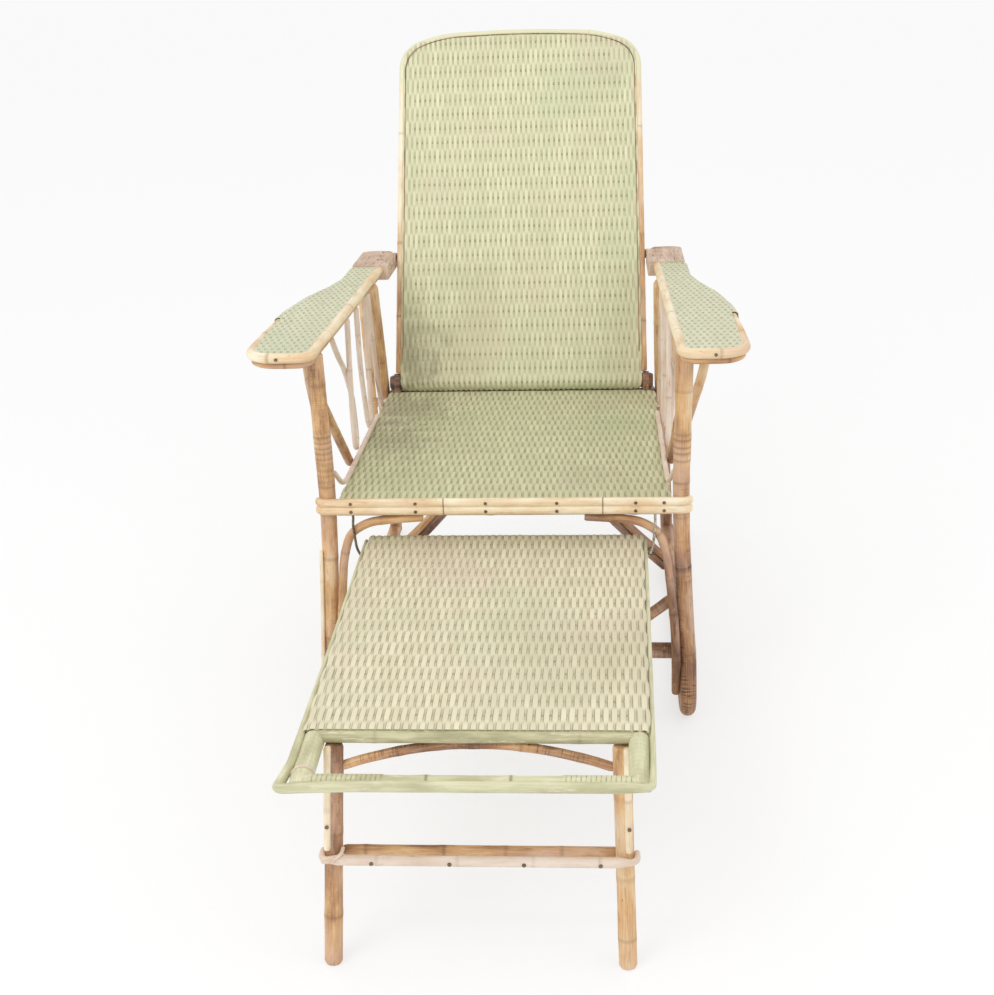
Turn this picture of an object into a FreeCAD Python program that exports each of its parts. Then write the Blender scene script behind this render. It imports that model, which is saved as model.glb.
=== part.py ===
import FreeCAD, Part
import math
import os

# Reclining cane deck chair with woven seat, back and arms and a footrest that slides under the seat.
# Millimetres. X to the right, Z up, the sitter faces -Y. While the pieces are drawn, Y is counted
# from the line of the front legs; at the end all of them move so that the origin is on the floor,
# in the middle of the chair's length and width.

# Clearances
seat_gap = 0.3  # between pieces that move on each other
joint_gap = 0.1  # between pieces that are nailed or bound together
end_gap = 0.8  # between the ends of two poles in one line
weave_gap = 0.8  # dark line between a woven panel and the pole beside it
lean_gap = 0.4  # between a nail head and a cane that leans below it

# Seat
seat_height = 384.0  # top of the weave
seat_panel_t = 4.0
seat_half_front = 257.0
seat_half_rear = 251.5
seat_panel_end = 530.0
seat_rail_d = 24.0
front_rail_d = 24.0
rear_rail_d = 22.0
side_rail_x_front = 248.0
side_rail_x_rear = 240.0
side_rail_end = 578.0
rear_rail_y = 508.0

# Front legs
leg_d = 26.0
leg_x_arm = 274.6
leg_x_seat = 272.2
leg_x_floor = 288.5
leg_flare_start = 0.83  # share of the seat's height where the leg starts to spread
foot_bend = 42.0
foot_end = 110.0
foot_forward = 36.0  # where the bend at the floor would have its corner, in front of the leg
floor_wear = 0.5  # flat worn on the poles that stand on the floor
leg_strip_w = 6.0
leg_strip_top = 300.0
leg_strip_foot = 60.0

# Rear legs and posts
rear_leg_d = 25.0
rear_leg_top_y = 441.0
rear_leg_foot_y = 745.0
rear_leg_x_top = 256.0
rear_leg_x_seat = 264.3
rear_leg_x_floor = 288.5
rear_post_d = 15.0
rear_post_foot_y = rear_leg_top_y - 26.0
rear_post_top_y = rear_leg_top_y + 107.0
rear_post_top_x = 293.8
post_binding_t = 2.5
post_binding_len = 20.0

# Braces below the seat
stretcher_d = 26.0
stretcher_z = 112.0
stretcher_y = 12.0
corner_brace_d = 18.0
corner_brace_leg_z = 218.0
corner_brace_foot_x = 155.0
arch_d = 14.0
arch_tail_x = 125.0
arch_foot_z = 46.0
arch_front = 10.2  # how far the arch pole stands in front of the leg's middle
strut_d = 15.0
strut_y = 531.0
strut_foot_x = 281.0
strut_foot_z = 21.0
strut_top_x = 34.0

# Braces above the seat
diagonal_d = 15.0
diagonal_top_z = 547.0
diagonal_foot_y = 172.0
knee_d = 15.0
knee_foot_z = 500.0
knee_in = 32.0  # how far in from the arm's outer edge the knee ends
knee_top_y = 215.0
cane_d = 9.0
low_cane_d = 8.0

# Front trim
trim_h = 13.0
trim_t = 7.0
trim_rise = 5.0  # top of the trim above the weave of the seat
trim_return = 62.0  # degrees that the trim goes round each leg

# Arms
arm_height = 640.0  # top of the arm at its front
arm_tilt = 1.21
arm_front = -82.0
arm_inner_front = 259.0
arm_inner_rear = 247.0
arm_outer = 366.0
arm_edge_back = 150.0  # where the edge pole ends on the outer side, and the woven lip starts
arm_waist = 308.5  # outer edge where the arm has narrowed, at the block
arm_edge_d = 15.0
arm_low_d = 9.0
arm_low_tuck = 3.0  # how far the lower pole stands in from the edge pole's middle
arm_outer_d = 14.0
arm_panel_t = 5.0
arm_lip = 3.0
arm_lip_h = 20.0
arm_corner_outer = 48.0
arm_corner_inner = 20.0

# Notched blocks and support bar
block_front = 530.0
block_end = 672.0
block_inner = 238.0
block_outer = 304.0
block_t = 26.0
block_corner = 18.0
bar_d = 17.0
bar_half = 258.0
bar_depth = 10.0  # bar's middle below the top of the block
notch_lean = 35.0
notch_pitch = 36.0
notch_count = 3
notch_end = 267.0

# Backrest
back_recline = 24.0
hinge_y = 548.0
back_rail_d = 27.0
back_rail_half = 249.0
back_length = 672.0  # hinge to the top of the arch
back_half_foot = 238.0
back_half_top = 230.0
back_shoulder = 31.0  # how far below the top the shoulder corners lie
back_crown = 5.0
hoop_d = 14.0
hoop_foot = 17.0
inner_pole_d = 10.0
back_panel_t = 3.5
back_roll_half = 228.0
back_roll_t = 1.8
lashing_x = 229.5
lashing_w = 11.5
lashing_t = 3.0
rail_wrap_t = 3.7  # cane wound round the side rail where the back's bottom rail lies on it

# Footrest
footrest_drop = 66.0  # how far its weave lies below the seat's
footrest_panel_t = 4.8
footrest_rear = 18.0
footrest_panel_front = -558.0
footrest_front = -669.0
foot_rail_d = 25.0
foot_rail_x_rear = 202.5
foot_rail_x_front = 193.0
foot_rail_pared = 13.0  # taken off below the front end of the side rails
foot_rail_paring = 60.0
edge_strip_t = 6.0
edge_strip_h = 15.0
edge_strip_rise = 6.0  # its middle above the side rails' middle
edge_corner = 11.0
foot_rear_rail_d = 20.0
foot_middle_rail_d = 16.0
foot_middle_rail_y = -558.0
foot_front_bar_d = 18.0
foot_leg_d = 23.0
foot_leg_top_x = 172.0
foot_leg_foot_x = 184.5
foot_leg_top_y = -560.0
foot_leg_foot_y = -597.0
foot_strip_w = 9.0
foot_stretcher_z = 154.0
foot_stretcher_d = 13.0
foot_stretcher_drop = 6.0  # the rear one of the pair lies lower by this
foot_stretcher_pared = 4.0  # taken off its inside where it bends round a leg
foot_arch_d = 12.0
foot_arch_drop = 38.6  # how far its ends lie below the middle of the side rails
foot_arch_rise = 33.0

# Hooks that carry the footrest
footrest_travel = 490.0  # how far the footrest slides in under the seat
hook_d = 4.0
hook_x = 233.0
hook_tip_gap = 1.0  # between its upturned end and the side rail, at the end of the slide

# Nails
nail_head_d = 5.0
nail_head_t = 1.2
trim_nail_x = (-234.0, -134.0, -26.0, 83.0, 203.0, 246.0)
stretcher_nail_x = (-129.0, -34.0, 56.0, 148.0)
strip_nail_z = 196.0
arm_nail_x = 313.0

shape_margin = 10.0  # how far a cutting block reaches past what it cuts

parts = {}


def vec(x, y, z):
    return FreeCAD.Vector(x, y, z)


def along(start, end, share):
    return start + (end - start) * share


def rounded_path(points, radii=None):
    """Straight runs joined by tangent arcs; each arc is as large as its runs allow, or radii[i]."""
    edges = []
    last = points[0]
    for i in range(1, len(points) - 1):
        corner = points[i]
        back = points[i - 1] - corner
        ahead = points[i + 1] - corner
        turn = math.pi - back.getAngle(ahead)
        if turn < 0.004:
            continue
        reach = 0.45 * min(back.Length, ahead.Length)
        if radii and radii[i]:
            reach = min(reach, radii[i] * math.tan(turn / 2))
        radius = reach / math.tan(turn / 2)
        back.normalize()
        ahead.normalize()
        middle = (back + ahead).normalize()
        start = corner + back * reach
        end = corner + ahead * reach
        top = corner + middle * (radius / math.cos(turn / 2) - radius)
        if last.distanceToPoint(start) > 0.001:
            edges.append(Part.LineSegment(last, start).toShape())
        edges.append(Part.Arc(start, top, end).toShape())
        last = end
    edges.append(Part.LineSegment(last, points[-1]).toShape())
    return Part.Wire(edges)


def swept(section, path):
    solid = path.makePipeShell([section], True, False)
    if solid.Volume < 0:
        solid.reverse()
    return solid


def pole(points, diameter, radii=None):
    """A round cane along the points."""
    heading = points[1] - points[0]
    circle = Part.Wire([Part.makeCircle(diameter / 2, points[0], heading)])
    return swept(circle, rounded_path(points, radii))


def strip(points, width, height, radii=None):
    """A split cane: a rounded rectangle, width across the path in plan and height along Z."""
    start = points[0]
    heading = (points[1] - points[0]).normalize()
    aside = heading.cross(vec(0, 0, 1)).normalize()
    rise = vec(0, 0, 1)
    r = 0.45 * min(width, height)
    half_w = width / 2
    half_h = height / 2
    corners = []
    for side_w, side_h in ((1, 1), (-1, 1), (-1, -1), (1, -1)):
        corners.append(start + aside * (side_w * half_w) + rise * (side_h * half_h))
    edges = []
    ends = []
    for i in range(4):
        corner = corners[i]
        before = (corners[i - 1] - corner).normalize()
        after = (corners[(i + 1) % 4] - corner).normalize()
        a = corner + before * r
        b = corner + after * r
        top = corner + (before + after) * (r * (1 - math.sqrt(0.5)))
        ends.append((a, top, b))
    for i in range(4):
        a, top, b = ends[i]
        edges.append(Part.Arc(a, top, b).toShape())
        edges.append(Part.LineSegment(b, ends[(i + 1) % 4][0]).toShape())
    return swept(Part.Wire(edges), rounded_path(points, radii))


def outline(points, radii):
    """A closed flat outline whose corners are rounded."""
    count = len(points)
    start = along(points[0], points[-1], 0.5)
    loop = [start] + list(points) + [start]
    bends = [None] + list(radii) + [None]
    return rounded_path(loop, bends)


def plate(points, radii, thickness):
    """A flat plate under the outline, thickness downwards."""
    return Part.Face(outline(points, radii)).extrude(vec(0, 0, -thickness))


def cylinder(start, end, diameter):
    return Part.makeCylinder(diameter / 2, start.distanceToPoint(end), start, end - start)


def fitted(shape, *neighbours):
    """Cope a piece against its neighbours and keep its main body."""
    for other in neighbours:
        shape = shape.cut(other)
    return max(shape.Solids, key=lambda solid: solid.Volume)


def mirrored(shape):
    return shape.mirror(vec(0, 0, 0), vec(1, 0, 0))


def pair(name, shape):
    parts[name + "_right"] = shape
    parts[name + "_left"] = mirrored(shape)


def both(name, shape):
    parts[name] = Part.makeCompound([shape, mirrored(shape)])


def floor_cut(shape):
    """Take off what reaches below the floor."""
    box = shape.BoundBox
    deep = shape_margin - box.ZMin
    corner = vec(box.XMin - shape_margin, box.YMin - shape_margin, -deep)
    block = Part.makeBox(box.XLength + 2 * shape_margin, box.YLength + 2 * shape_margin, deep, corner)
    return fitted(shape, block)


def mix(low, high, share):
    return low + (high - low) * share


# Heights and places worked out from the dimensions
seat_under = seat_height - seat_panel_t
side_rail_z = seat_under - seat_rail_d / 2
front_rail_z = seat_under - front_rail_d / 2
rear_rail_z = seat_under - rear_rail_d / 2
trim_top_z = seat_height + trim_rise
footrest_top = seat_height - footrest_drop
knee_top_x = arm_outer - knee_in
hinge_z = side_rail_z + seat_rail_d / 2 + rail_wrap_t + seat_gap + back_rail_d / 2
arm_slope = math.tan(math.radians(arm_tilt))
arm_pivot = vec(0, arm_front, arm_height)
edge_z = arm_height - arm_edge_d / 2
low_reach = (arm_edge_d + arm_low_d) / 2  # between the middles of the arm's edge pole and lower pole
low_z = edge_z - math.sqrt(low_reach ** 2 - arm_low_tuck ** 2)
low_bottom = low_z - arm_low_d / 2


def arm_drop(y):
    """How far the tilted arm lies lower at y than at its front."""
    return arm_slope * (y - arm_front)


def side_rail_x(y):
    return mix(side_rail_x_front, side_rail_x_rear, y / 560.0)


def seat_edge_x(y):
    return mix(seat_half_front, seat_half_rear, y / seat_panel_end)


def arm_inner_x(y):
    """Inner edge of the arm: straight at the front, then drawn in towards the block."""
    return mix(arm_inner_front, arm_inner_rear, min(1.0, max(0.0, y / block_front)) ** 0.8)


def level(shape):
    """Turn a piece of the arm from flat to its tilt."""
    turned = shape.copy()
    turned.rotate(arm_pivot, vec(1, 0, 0), -arm_tilt)
    return turned


# Arms, drawn flat
arm_mid_y = (0.0, 0.24 * block_front, 0.53 * block_front)
edge_plan = [(arm_outer - arm_edge_d / 2, arm_edge_back)]
edge_plan.append((arm_outer - arm_edge_d / 2, arm_front + arm_edge_d / 2))
edge_plan.append((arm_inner_front + arm_edge_d / 2, arm_front + arm_edge_d / 2))
for y in arm_mid_y:
    edge_plan.append((arm_inner_x(y) + arm_edge_d / 2, y))
edge_plan.append((arm_inner_rear + arm_edge_d / 2, block_front - seat_gap))
edge_radii = [None, arm_corner_outer - arm_edge_d / 2, arm_corner_inner] + [None] * 4
edge_flat = pole([vec(x, y, edge_z) for x, y in edge_plan], arm_edge_d, edge_radii)
low_plan = [(edge_plan[0][0] - arm_low_tuck, edge_plan[0][1])]
low_plan.append((edge_plan[1][0] - arm_low_tuck, edge_plan[1][1] + arm_low_tuck))
low_plan.append((edge_plan[2][0] + arm_low_tuck, edge_plan[2][1] + arm_low_tuck))
low_plan += [(x + arm_low_tuck, y) for x, y in edge_plan[3:]]
low_flat = pole([vec(x, y, low_z - joint_gap) for x, y in low_plan], arm_low_d, edge_radii)

bulge = arm_outer - arm_waist
outer_plan = [(arm_outer, arm_edge_back + end_gap), (arm_outer - 0.06 * bulge, 200.0)]
outer_plan += [(arm_outer - 0.36 * bulge, 300.0), (arm_outer - 0.76 * bulge, 370.0)]
outer_plan += [(arm_waist, 440.0), (arm_waist, block_front - seat_gap)]
inset = arm_lip + arm_outer_d / 2 + joint_gap
outer_z = arm_height - arm_panel_t - arm_outer_d / 2 - joint_gap
outer_flat = pole([vec(x - inset, y, outer_z) for x, y in outer_plan], arm_outer_d)

panel_plan = [(arm_inner_front + arm_edge_d / 2, arm_front + arm_edge_d / 2)]
panel_plan.append((arm_outer - arm_edge_d / 2, arm_front + arm_edge_d / 2))
panel_plan.append((arm_outer - arm_edge_d / 2, arm_edge_back + end_gap))
panel_radii = [arm_corner_inner, arm_corner_outer - arm_edge_d / 2, 1.0]
panel_plan += outer_plan
panel_radii += [1.0] + [None] * (len(outer_plan) - 2) + [2.0]
panel_plan.append((arm_inner_rear + arm_edge_d / 2, block_front - seat_gap))
panel_radii.append(2.0)
for y in reversed(arm_mid_y):
    panel_plan.append((arm_inner_x(y) + arm_edge_d / 2, y))
    panel_radii.append(None)
top_face = plate([vec(x, y, arm_height) for x, y in panel_plan], panel_radii, arm_panel_t)
lip_outer = [vec(x, y, arm_height) for x, y in outer_plan]
lip_inner = [vec(x - arm_lip, y, arm_height) for x, y in reversed(outer_plan)]
lip_edges = rounded_path(lip_outer).Edges + [Part.LineSegment(lip_outer[-1], lip_inner[0]).toShape()]
lip_edges += rounded_path(lip_inner).Edges + [Part.LineSegment(lip_inner[-1], lip_outer[0]).toShape()]
lip = Part.Face(Part.Wire(lip_edges)).extrude(vec(0, 0, -arm_lip_h))
edge_room = pole([vec(x, y, edge_z) for x, y in edge_plan], arm_edge_d + 2 * joint_gap, edge_radii)
panel_flat = fitted(top_face.fuse(lip).removeSplitter(), edge_room)

block_points = [vec(block_outer, block_front, arm_height), vec(block_outer, block_end, arm_height)]
block_points += [vec(block_inner, block_end, arm_height), vec(block_inner, block_front, arm_height)]
block_flat = plate(block_points, [6.0, block_corner, block_corner, 4.0], block_t)

arm_edge_pole = level(edge_flat)
arm_low_pole = level(low_flat)
arm_panel = level(panel_flat)
arm_block = level(block_flat)
pair("arm_edge_pole", arm_edge_pole)
pair("arm_lower_pole", arm_low_pole)
pair("arm_outer_pole", level(outer_flat))
pair("arm_panel", arm_panel)

# Support bar behind the back, and its notches
lean = math.radians(back_recline)
back_rear = -seat_gap - 0.1  # rear of the back's poles, from the plane of the hinge
bar_n = back_rear - seat_gap - bar_d / 2
bar_reach = arm_height - bar_depth - hinge_z - bar_n * math.sin(lean)
bar_reach -= arm_slope * (hinge_y - bar_n * math.cos(lean) - arm_front)
bar_s = bar_reach / (math.cos(lean) + arm_slope * math.sin(lean))
bar_y = hinge_y + bar_s * math.sin(lean) - bar_n * math.cos(lean)
bar_z = hinge_z + bar_s * math.cos(lean) + bar_n * math.sin(lean)
notch_dir = vec(0, math.sin(math.radians(notch_lean)), math.cos(math.radians(notch_lean)))
for i in range(notch_count):
    foot = vec(block_inner - 20, bar_y - i * notch_pitch, bar_z + arm_slope * i * notch_pitch)
    side = vec(notch_end - block_inner + 20, 0, 0)
    width = bar_d + 2 * seat_gap
    round_end = cylinder(foot, foot + side, width)
    aside = vec(0, notch_dir.z, -notch_dir.y) * (width / 2)
    mouth = [foot - aside, foot + aside, foot + aside + notch_dir * 60, foot - aside + notch_dir * 60]
    slot = Part.Face(Part.makePolygon(mouth + [mouth[0]])).extrude(side)
    arm_block = fitted(arm_block, round_end, slot)
pair("arm_block", arm_block)
parts["support_bar"] = cylinder(vec(-bar_half, bar_y, bar_z), vec(bar_half, bar_y, bar_z), bar_d)

# Seat frame
leg_points = [
    vec(leg_x_arm, 0, low_bottom + 4.0),
    vec(leg_x_seat, 0, seat_height + 10.0),
    vec(mix(leg_x_seat, leg_x_floor, 0.15), 0, leg_flare_start * seat_height),
    vec(mix(leg_x_seat, leg_x_floor, 0.52), 0, 0.54 * seat_height),
    vec(mix(leg_x_seat, leg_x_floor, 0.86), 0, 0.34 * seat_height),
    vec(leg_x_floor, 0, 0.27 * seat_height),
    vec(leg_x_floor, -foot_forward, leg_d / 2 - floor_wear),
    vec(leg_x_floor, foot_end, leg_d / 2 - floor_wear),
]
leg_radii = [None] * 6 + [foot_bend, None]
raw_leg = pole(leg_points, leg_d, leg_radii)
front_leg = floor_cut(fitted(raw_leg, arm_low_pole))


def leg_at(z):
    """Middle of the front leg at height z."""
    for upper, lower in zip(leg_points, leg_points[1:]):
        if lower.z <= z <= upper.z and upper.z > lower.z:
            return along(lower, upper, (z - lower.z) / (upper.z - lower.z))
    return leg_points[0]


def leg_x(z):
    return leg_at(z).x


pair("front_leg", front_leg)
front_rail_end = vec(leg_x_seat, 0, front_rail_z)
front_rail = cylinder(vec(-leg_x_seat, 0, front_rail_z), front_rail_end, front_rail_d)
front_rail = fitted(front_rail, front_leg, mirrored(front_leg))
parts["front_rail"] = front_rail
side_rail_front = vec(side_rail_x(0), 0, side_rail_z)
side_rail_rear = vec(side_rail_x(side_rail_end), side_rail_end, side_rail_z)
side_rail = fitted(cylinder(side_rail_front, side_rail_rear, seat_rail_d), front_rail, front_leg)
pair("side_rail", side_rail)
rear_rail_end = vec(side_rail_x(rear_rail_y), rear_rail_y, rear_rail_z)
rear_rail = cylinder(vec(-rear_rail_end.x, rear_rail_y, rear_rail_z), rear_rail_end, rear_rail_d)
rear_rail = fitted(rear_rail, side_rail, mirrored(side_rail))
parts["rear_rail"] = rear_rail

# Rear legs and floor runners
rear_slope = (rear_leg_foot_y - rear_leg_top_y) / (low_bottom - arm_drop(rear_leg_top_y))


def rear_leg_y(z):
    return rear_leg_foot_y - rear_slope * z


def rear_leg_x(z):
    if z < seat_height:
        return mix(rear_leg_x_floor, rear_leg_x_seat, z / seat_height)
    return mix(rear_leg_x_seat, rear_leg_x_top, (z - seat_height) / (low_bottom - seat_height))


rear_leg_points = [vec(rear_leg_x(z), rear_leg_y(z), z) for z in (low_bottom + 2.0, seat_height, -20.0)]
rear_leg = floor_cut(fitted(pole(rear_leg_points, rear_leg_d), arm_low_pole, arm_panel, arm_edge_pole))
pair("rear_leg", rear_leg)
runner_start = vec(leg_x_floor, foot_end + joint_gap, leg_d / 2 - floor_wear)
runner_end = vec(leg_x_floor, rear_leg_foot_y, leg_d / 2 - floor_wear)
runner = floor_cut(fitted(cylinder(runner_start, runner_end, leg_d), rear_leg))
pair("floor_runner", runner)

# Rear posts from the side rails to the notched blocks, with their bindings
post_foot = vec(side_rail_x(rear_post_foot_y) + (seat_rail_d + rear_post_d) / 2 + joint_gap, rear_post_foot_y,
                side_rail_z - 4.0)
post_top = vec(rear_post_top_x, rear_post_top_y, arm_height - block_t - arm_drop(rear_post_top_y) + 6.0)
rear_post = fitted(cylinder(post_foot, post_top, rear_post_d), arm_block, rear_leg)
pair("rear_post", rear_post)
post_dir = (post_top - post_foot).normalize()
ring_foot = post_foot + post_dir * (seat_height - post_foot.z + 6.0)
ring_top = ring_foot + post_dir * post_binding_len
ring = cylinder(ring_foot, ring_top, rear_post_d + 2 * post_binding_t)
ring = ring.cut(cylinder(post_foot, post_top, rear_post_d + 2 * joint_gap))
both("post_bindings", ring.Solids[0])

# Stretcher and corner braces between the front legs
stretcher_end = vec(leg_x_floor, stretcher_y, stretcher_z)
stretcher = cylinder(vec(-leg_x_floor, stretcher_y, stretcher_z), stretcher_end, stretcher_d)
stretcher = fitted(stretcher, front_leg, mirrored(front_leg))
parts["lower_stretcher"] = stretcher
corner_top = vec(leg_x(corner_brace_leg_z), stretcher_y + 2.0, corner_brace_leg_z)
corner_foot = vec(corner_brace_foot_x, stretcher_y, stretcher_z + stretcher_d / 4)
both("corner_braces", fitted(cylinder(corner_top, corner_foot, corner_brace_d), front_leg, stretcher))

# Arch poles: up the inside of the legs and round under the front rail
arch_hang_y = -arch_front + 2.0  # where the hooks pass the arch pole
arch_points = [
    vec(leg_x(arch_foot_z) - 19.5, -arch_front, arch_foot_z),
    vec(leg_x(0.3 * seat_height) - 19.0, -arch_front, 0.3 * seat_height),
    vec(leg_x(0.45 * seat_height) - 18.0, -arch_front, 0.45 * seat_height),
    vec(leg_x(0.61 * seat_height) - 20.5, -arch_front, 0.61 * seat_height),
    vec(leg_x(0.75 * seat_height) - 23.5, -arch_front + 1.0, 0.75 * seat_height),
    vec(leg_x_seat - 32.0, arch_hang_y, front_rail_z - 39.0),
    vec(leg_x_seat - 62.0, arch_hang_y + 1.5, front_rail_z - 20.5),
    vec(mix(arch_tail_x, leg_x_seat, 0.3), arch_hang_y + 2.0, front_rail_z - 16.0),
    vec(arch_tail_x, arch_hang_y + 2.0, front_rail_z - 13.0),
]
arch_brace = fitted(pole(arch_points, arch_d), front_rail, front_leg)
pair("arch_brace", arch_brace)

# Struts from the floor runners up to the middle of the rear rail, two canes side by side in each
strut_line = [
    vec(strut_foot_x, strut_y, strut_foot_z),
    vec(0.7 * leg_x_floor, strut_y, 0.25 * seat_height),
    vec(0.52 * leg_x_floor, strut_y, 0.4 * seat_height),
    vec(0.33 * leg_x_floor, strut_y, 0.585 * seat_height),
    vec(strut_top_x + 22.0, strut_y - 2.0, 0.755 * seat_height),
    vec(strut_top_x, rear_rail_y + 4.0, rear_rail_z - 5.0),
]


def beside(points, distance):
    """The points of a path in the XZ plane, moved square to it."""
    moved = []
    for i, point in enumerate(points):
        run = points[min(i + 1, len(points) - 1)] - points[max(i - 1, 0)]
        run.y = 0
        moved.append(point + run.normalize().cross(vec(0, 1, 0)) * distance)
    return moved


half_pair = (strut_d + joint_gap) / 2
strut_canes = []
for place in (-half_pair, half_pair):
    strut_canes.append(fitted(pole(beside(strut_line, place), strut_d), rear_rail, runner))
pair("rear_strut", Part.makeCompound(strut_canes))

# Diagonals from the front legs down to the side rails
diagonal_top = vec(leg_x(seat_height + 100), 4.0, diagonal_top_z)
diagonal_foot_x = side_rail_x(diagonal_foot_y) + (seat_rail_d + diagonal_d) / 2 + joint_gap
diagonal_foot = vec(diagonal_foot_x, diagonal_foot_y, side_rail_z + 6.0)
side_diagonal = fitted(cylinder(diagonal_top, diagonal_foot, diagonal_d), front_leg)
both("side_diagonals", side_diagonal)

# Knees that run back and outward from the legs to the arms
knee_points = [
    vec(leg_x(knee_foot_z), 0, knee_foot_z - 10.0),
    vec(mix(leg_x_arm, knee_top_x, 0.66), 0.56 * knee_top_y, mix(knee_foot_z, low_bottom, 0.47)),
    vec(knee_top_x, knee_top_y, arm_height - arm_drop(knee_top_y)),
]
both("arm_knees", fitted(pole(knee_points, knee_d), front_leg, arm_panel, side_diagonal))

# Woven seat panel and the two half-round canes along its front
seat_plan = [(-seat_half_front, -front_rail_d / 2), (seat_half_front, -front_rail_d / 2)]
seat_plan += [(seat_half_rear, seat_panel_end), (-seat_half_rear, seat_panel_end)]
seat_points = [vec(x, y, seat_height) for x, y in seat_plan]
seat_panel = plate(seat_points, [3.0, 3.0, 6.0, 6.0], seat_panel_t)
seat_panel = fitted(seat_panel, raw_leg, mirrored(raw_leg))
parts["seat_panel"] = seat_panel


def trim_cane(z):
    """Half-round cane nailed along the front rail and bent round both legs."""
    reach = leg_d / 2 + joint_gap + trim_t / 2
    turn = math.radians(trim_return)
    centre = vec(leg_x_seat + 0.6, 0, z)
    front = -reach
    arc_start = vec(centre.x, front, z)
    arc_mid = centre + vec(math.sin(turn / 2) * reach, -math.cos(turn / 2) * reach, 0)
    arc_end = centre + vec(math.sin(turn) * reach, -math.cos(turn) * reach, 0)
    half = Part.Wire([Part.LineSegment(vec(0, front, z), arc_start).toShape(),
                      Part.Arc(arc_start, arc_mid, arc_end).toShape()])
    back = front + trim_t / 2
    face = front - trim_t / 2
    shoulder = face + 0.42 * trim_t
    top = z + trim_h / 2
    bottom = z - trim_h / 2
    section = [Part.LineSegment(vec(0, back, bottom), vec(0, back, top)).toShape()]
    section.append(Part.LineSegment(vec(0, back, top), vec(0, shoulder, top)).toShape())
    section.append(Part.Arc(vec(0, shoulder, top), vec(0, face, z), vec(0, shoulder, bottom)).toShape())
    section.append(Part.LineSegment(vec(0, shoulder, bottom), vec(0, back, bottom)).toShape())
    side = swept(Part.Wire(section), half)
    return side.fuse(mirrored(side)).removeSplitter()


upper_z = trim_top_z - trim_h / 2
lower_z = upper_z - trim_h - joint_gap
parts["front_trim_upper"] = fitted(trim_cane(upper_z), raw_leg, mirrored(raw_leg))
parts["front_trim_lower"] = fitted(trim_cane(lower_z), raw_leg, mirrored(raw_leg))

# Light split strip on the outer front of the left leg
strip_reach = (leg_d + leg_strip_w) / 2 + seat_gap
strip_points = []
for share in (0.0, 0.35, 0.7, 1.0):
    spot = leg_at(mix(leg_strip_top, leg_strip_foot, share))
    strip_points.append(vec(-spot.x - 0.75 * strip_reach, spot.y - 0.66 * strip_reach, spot.z))
parts["leg_strip_left"] = pole(strip_points, leg_strip_w)

# Bent canes that fill the sides below the arms


def cane_top(y, x_shift=0.0):
    x = arm_inner_x(y) + arm_edge_d / 2 + x_shift
    return vec(x, y, low_bottom - arm_drop(y) + 2.0)


def cane_at(y, z, layer):
    """A point on the side: layer 0 lies against the low cane, layer 1 over layer 0."""
    near = seat_edge_x(y) - 2.0 + (low_cane_d + cane_d) / 2 + seat_gap
    return vec(near + layer * (cane_d + seat_gap), y, z)


low_cane_z = seat_height + low_cane_d / 2 + joint_gap
rise = low_bottom - seat_height
low_points = [vec(leg_x_seat - 9.0, leg_d / 2 + 7.0, seat_height + 36.0)]
low_points.append(vec(seat_edge_x(34) - 1.0, 34.0, seat_height + 12.0))
low_points += [vec(seat_edge_x(y) - 2.0, y, low_cane_z) for y in (66.0, 226.0, 386.0)]
low_cane = fitted(pole(low_points, low_cane_d), raw_leg)
loop_cane = pole([
    cane_top(211.0),
    cane_at(206.0, seat_height + 0.64 * rise, 0.0),
    cane_at(200.0, seat_height + 0.25 * rise, 0.0),
    cane_at(203.0, seat_height + 0.06 * rise, 0.0),
    cane_at(229.0, seat_height - 3.0, 0.3),
    cane_at(256.0, seat_height + 0.07 * rise, 0.7),
    cane_at(258.0, seat_height + 0.35 * rise, 1.0),
    cane_at(214.0, seat_height + 0.61 * rise, 1.1),
    cane_at(150.0, seat_height + 0.8 * rise, 0.75),
    cane_top(92.0, 2.0),
], cane_d)
u_cane = pole([
    cane_top(291.0),
    cane_at(304.0, seat_height + 0.5 * rise, 0.1),
    cane_at(334.0, seat_height + 0.05 * rise, 0.05),
    cane_at(354.0, seat_height - 12.0, 0.05),
    cane_at(372.0, seat_height + 0.08 * rise, 0.05),
    cane_at(384.0, seat_height + 0.5 * rise, 0.05),
    cane_top(380.0),
], cane_d)
hook_face = (seat_rail_d + cane_d) / 2 + joint_gap
rear_cane = pole([
    cane_top(400.0),
    vec(arm_inner_rear + 10.5, 420.0, seat_height + 0.62 * rise),
    vec(side_rail_x(455) + hook_face + 0.5, 452.0, seat_height + 0.25 * rise),
    vec(side_rail_x(480) + hook_face, 474.0, seat_height - 2.0),
    vec(side_rail_x(498) + hook_face, 496.0, side_rail_z - 6.0),
    vec(side_rail_x(530) + hook_face, 528.0, side_rail_z + 1.0),
], cane_d)
side_canes = [low_cane] + [fitted(cane, arm_low_pole) for cane in (loop_cane, u_cane, rear_cane)]
pair("bent_canes", Part.makeCompound(side_canes))

# Backrest, drawn upright at the hinge: X across, -Y to the front, Z up its length


def hoop_points(inset_now, depth, foot):
    """Half of the back's outline, from the right foot round to the left one."""
    half_foot = back_half_foot - inset_now
    half_top = back_half_top - inset_now
    top = back_length - inset_now
    shoulder = top - back_shoulder + 0.1 * inset_now
    right = [vec(half_foot, -depth, foot), vec(half_top, -depth, shoulder)]
    right.append(vec(0.66 * half_top, -depth, top - back_crown))
    left = [vec(-point.x, point.y, point.z) for point in reversed(right)]
    return right + [vec(0, -depth, top + 0.2)] + left


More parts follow.
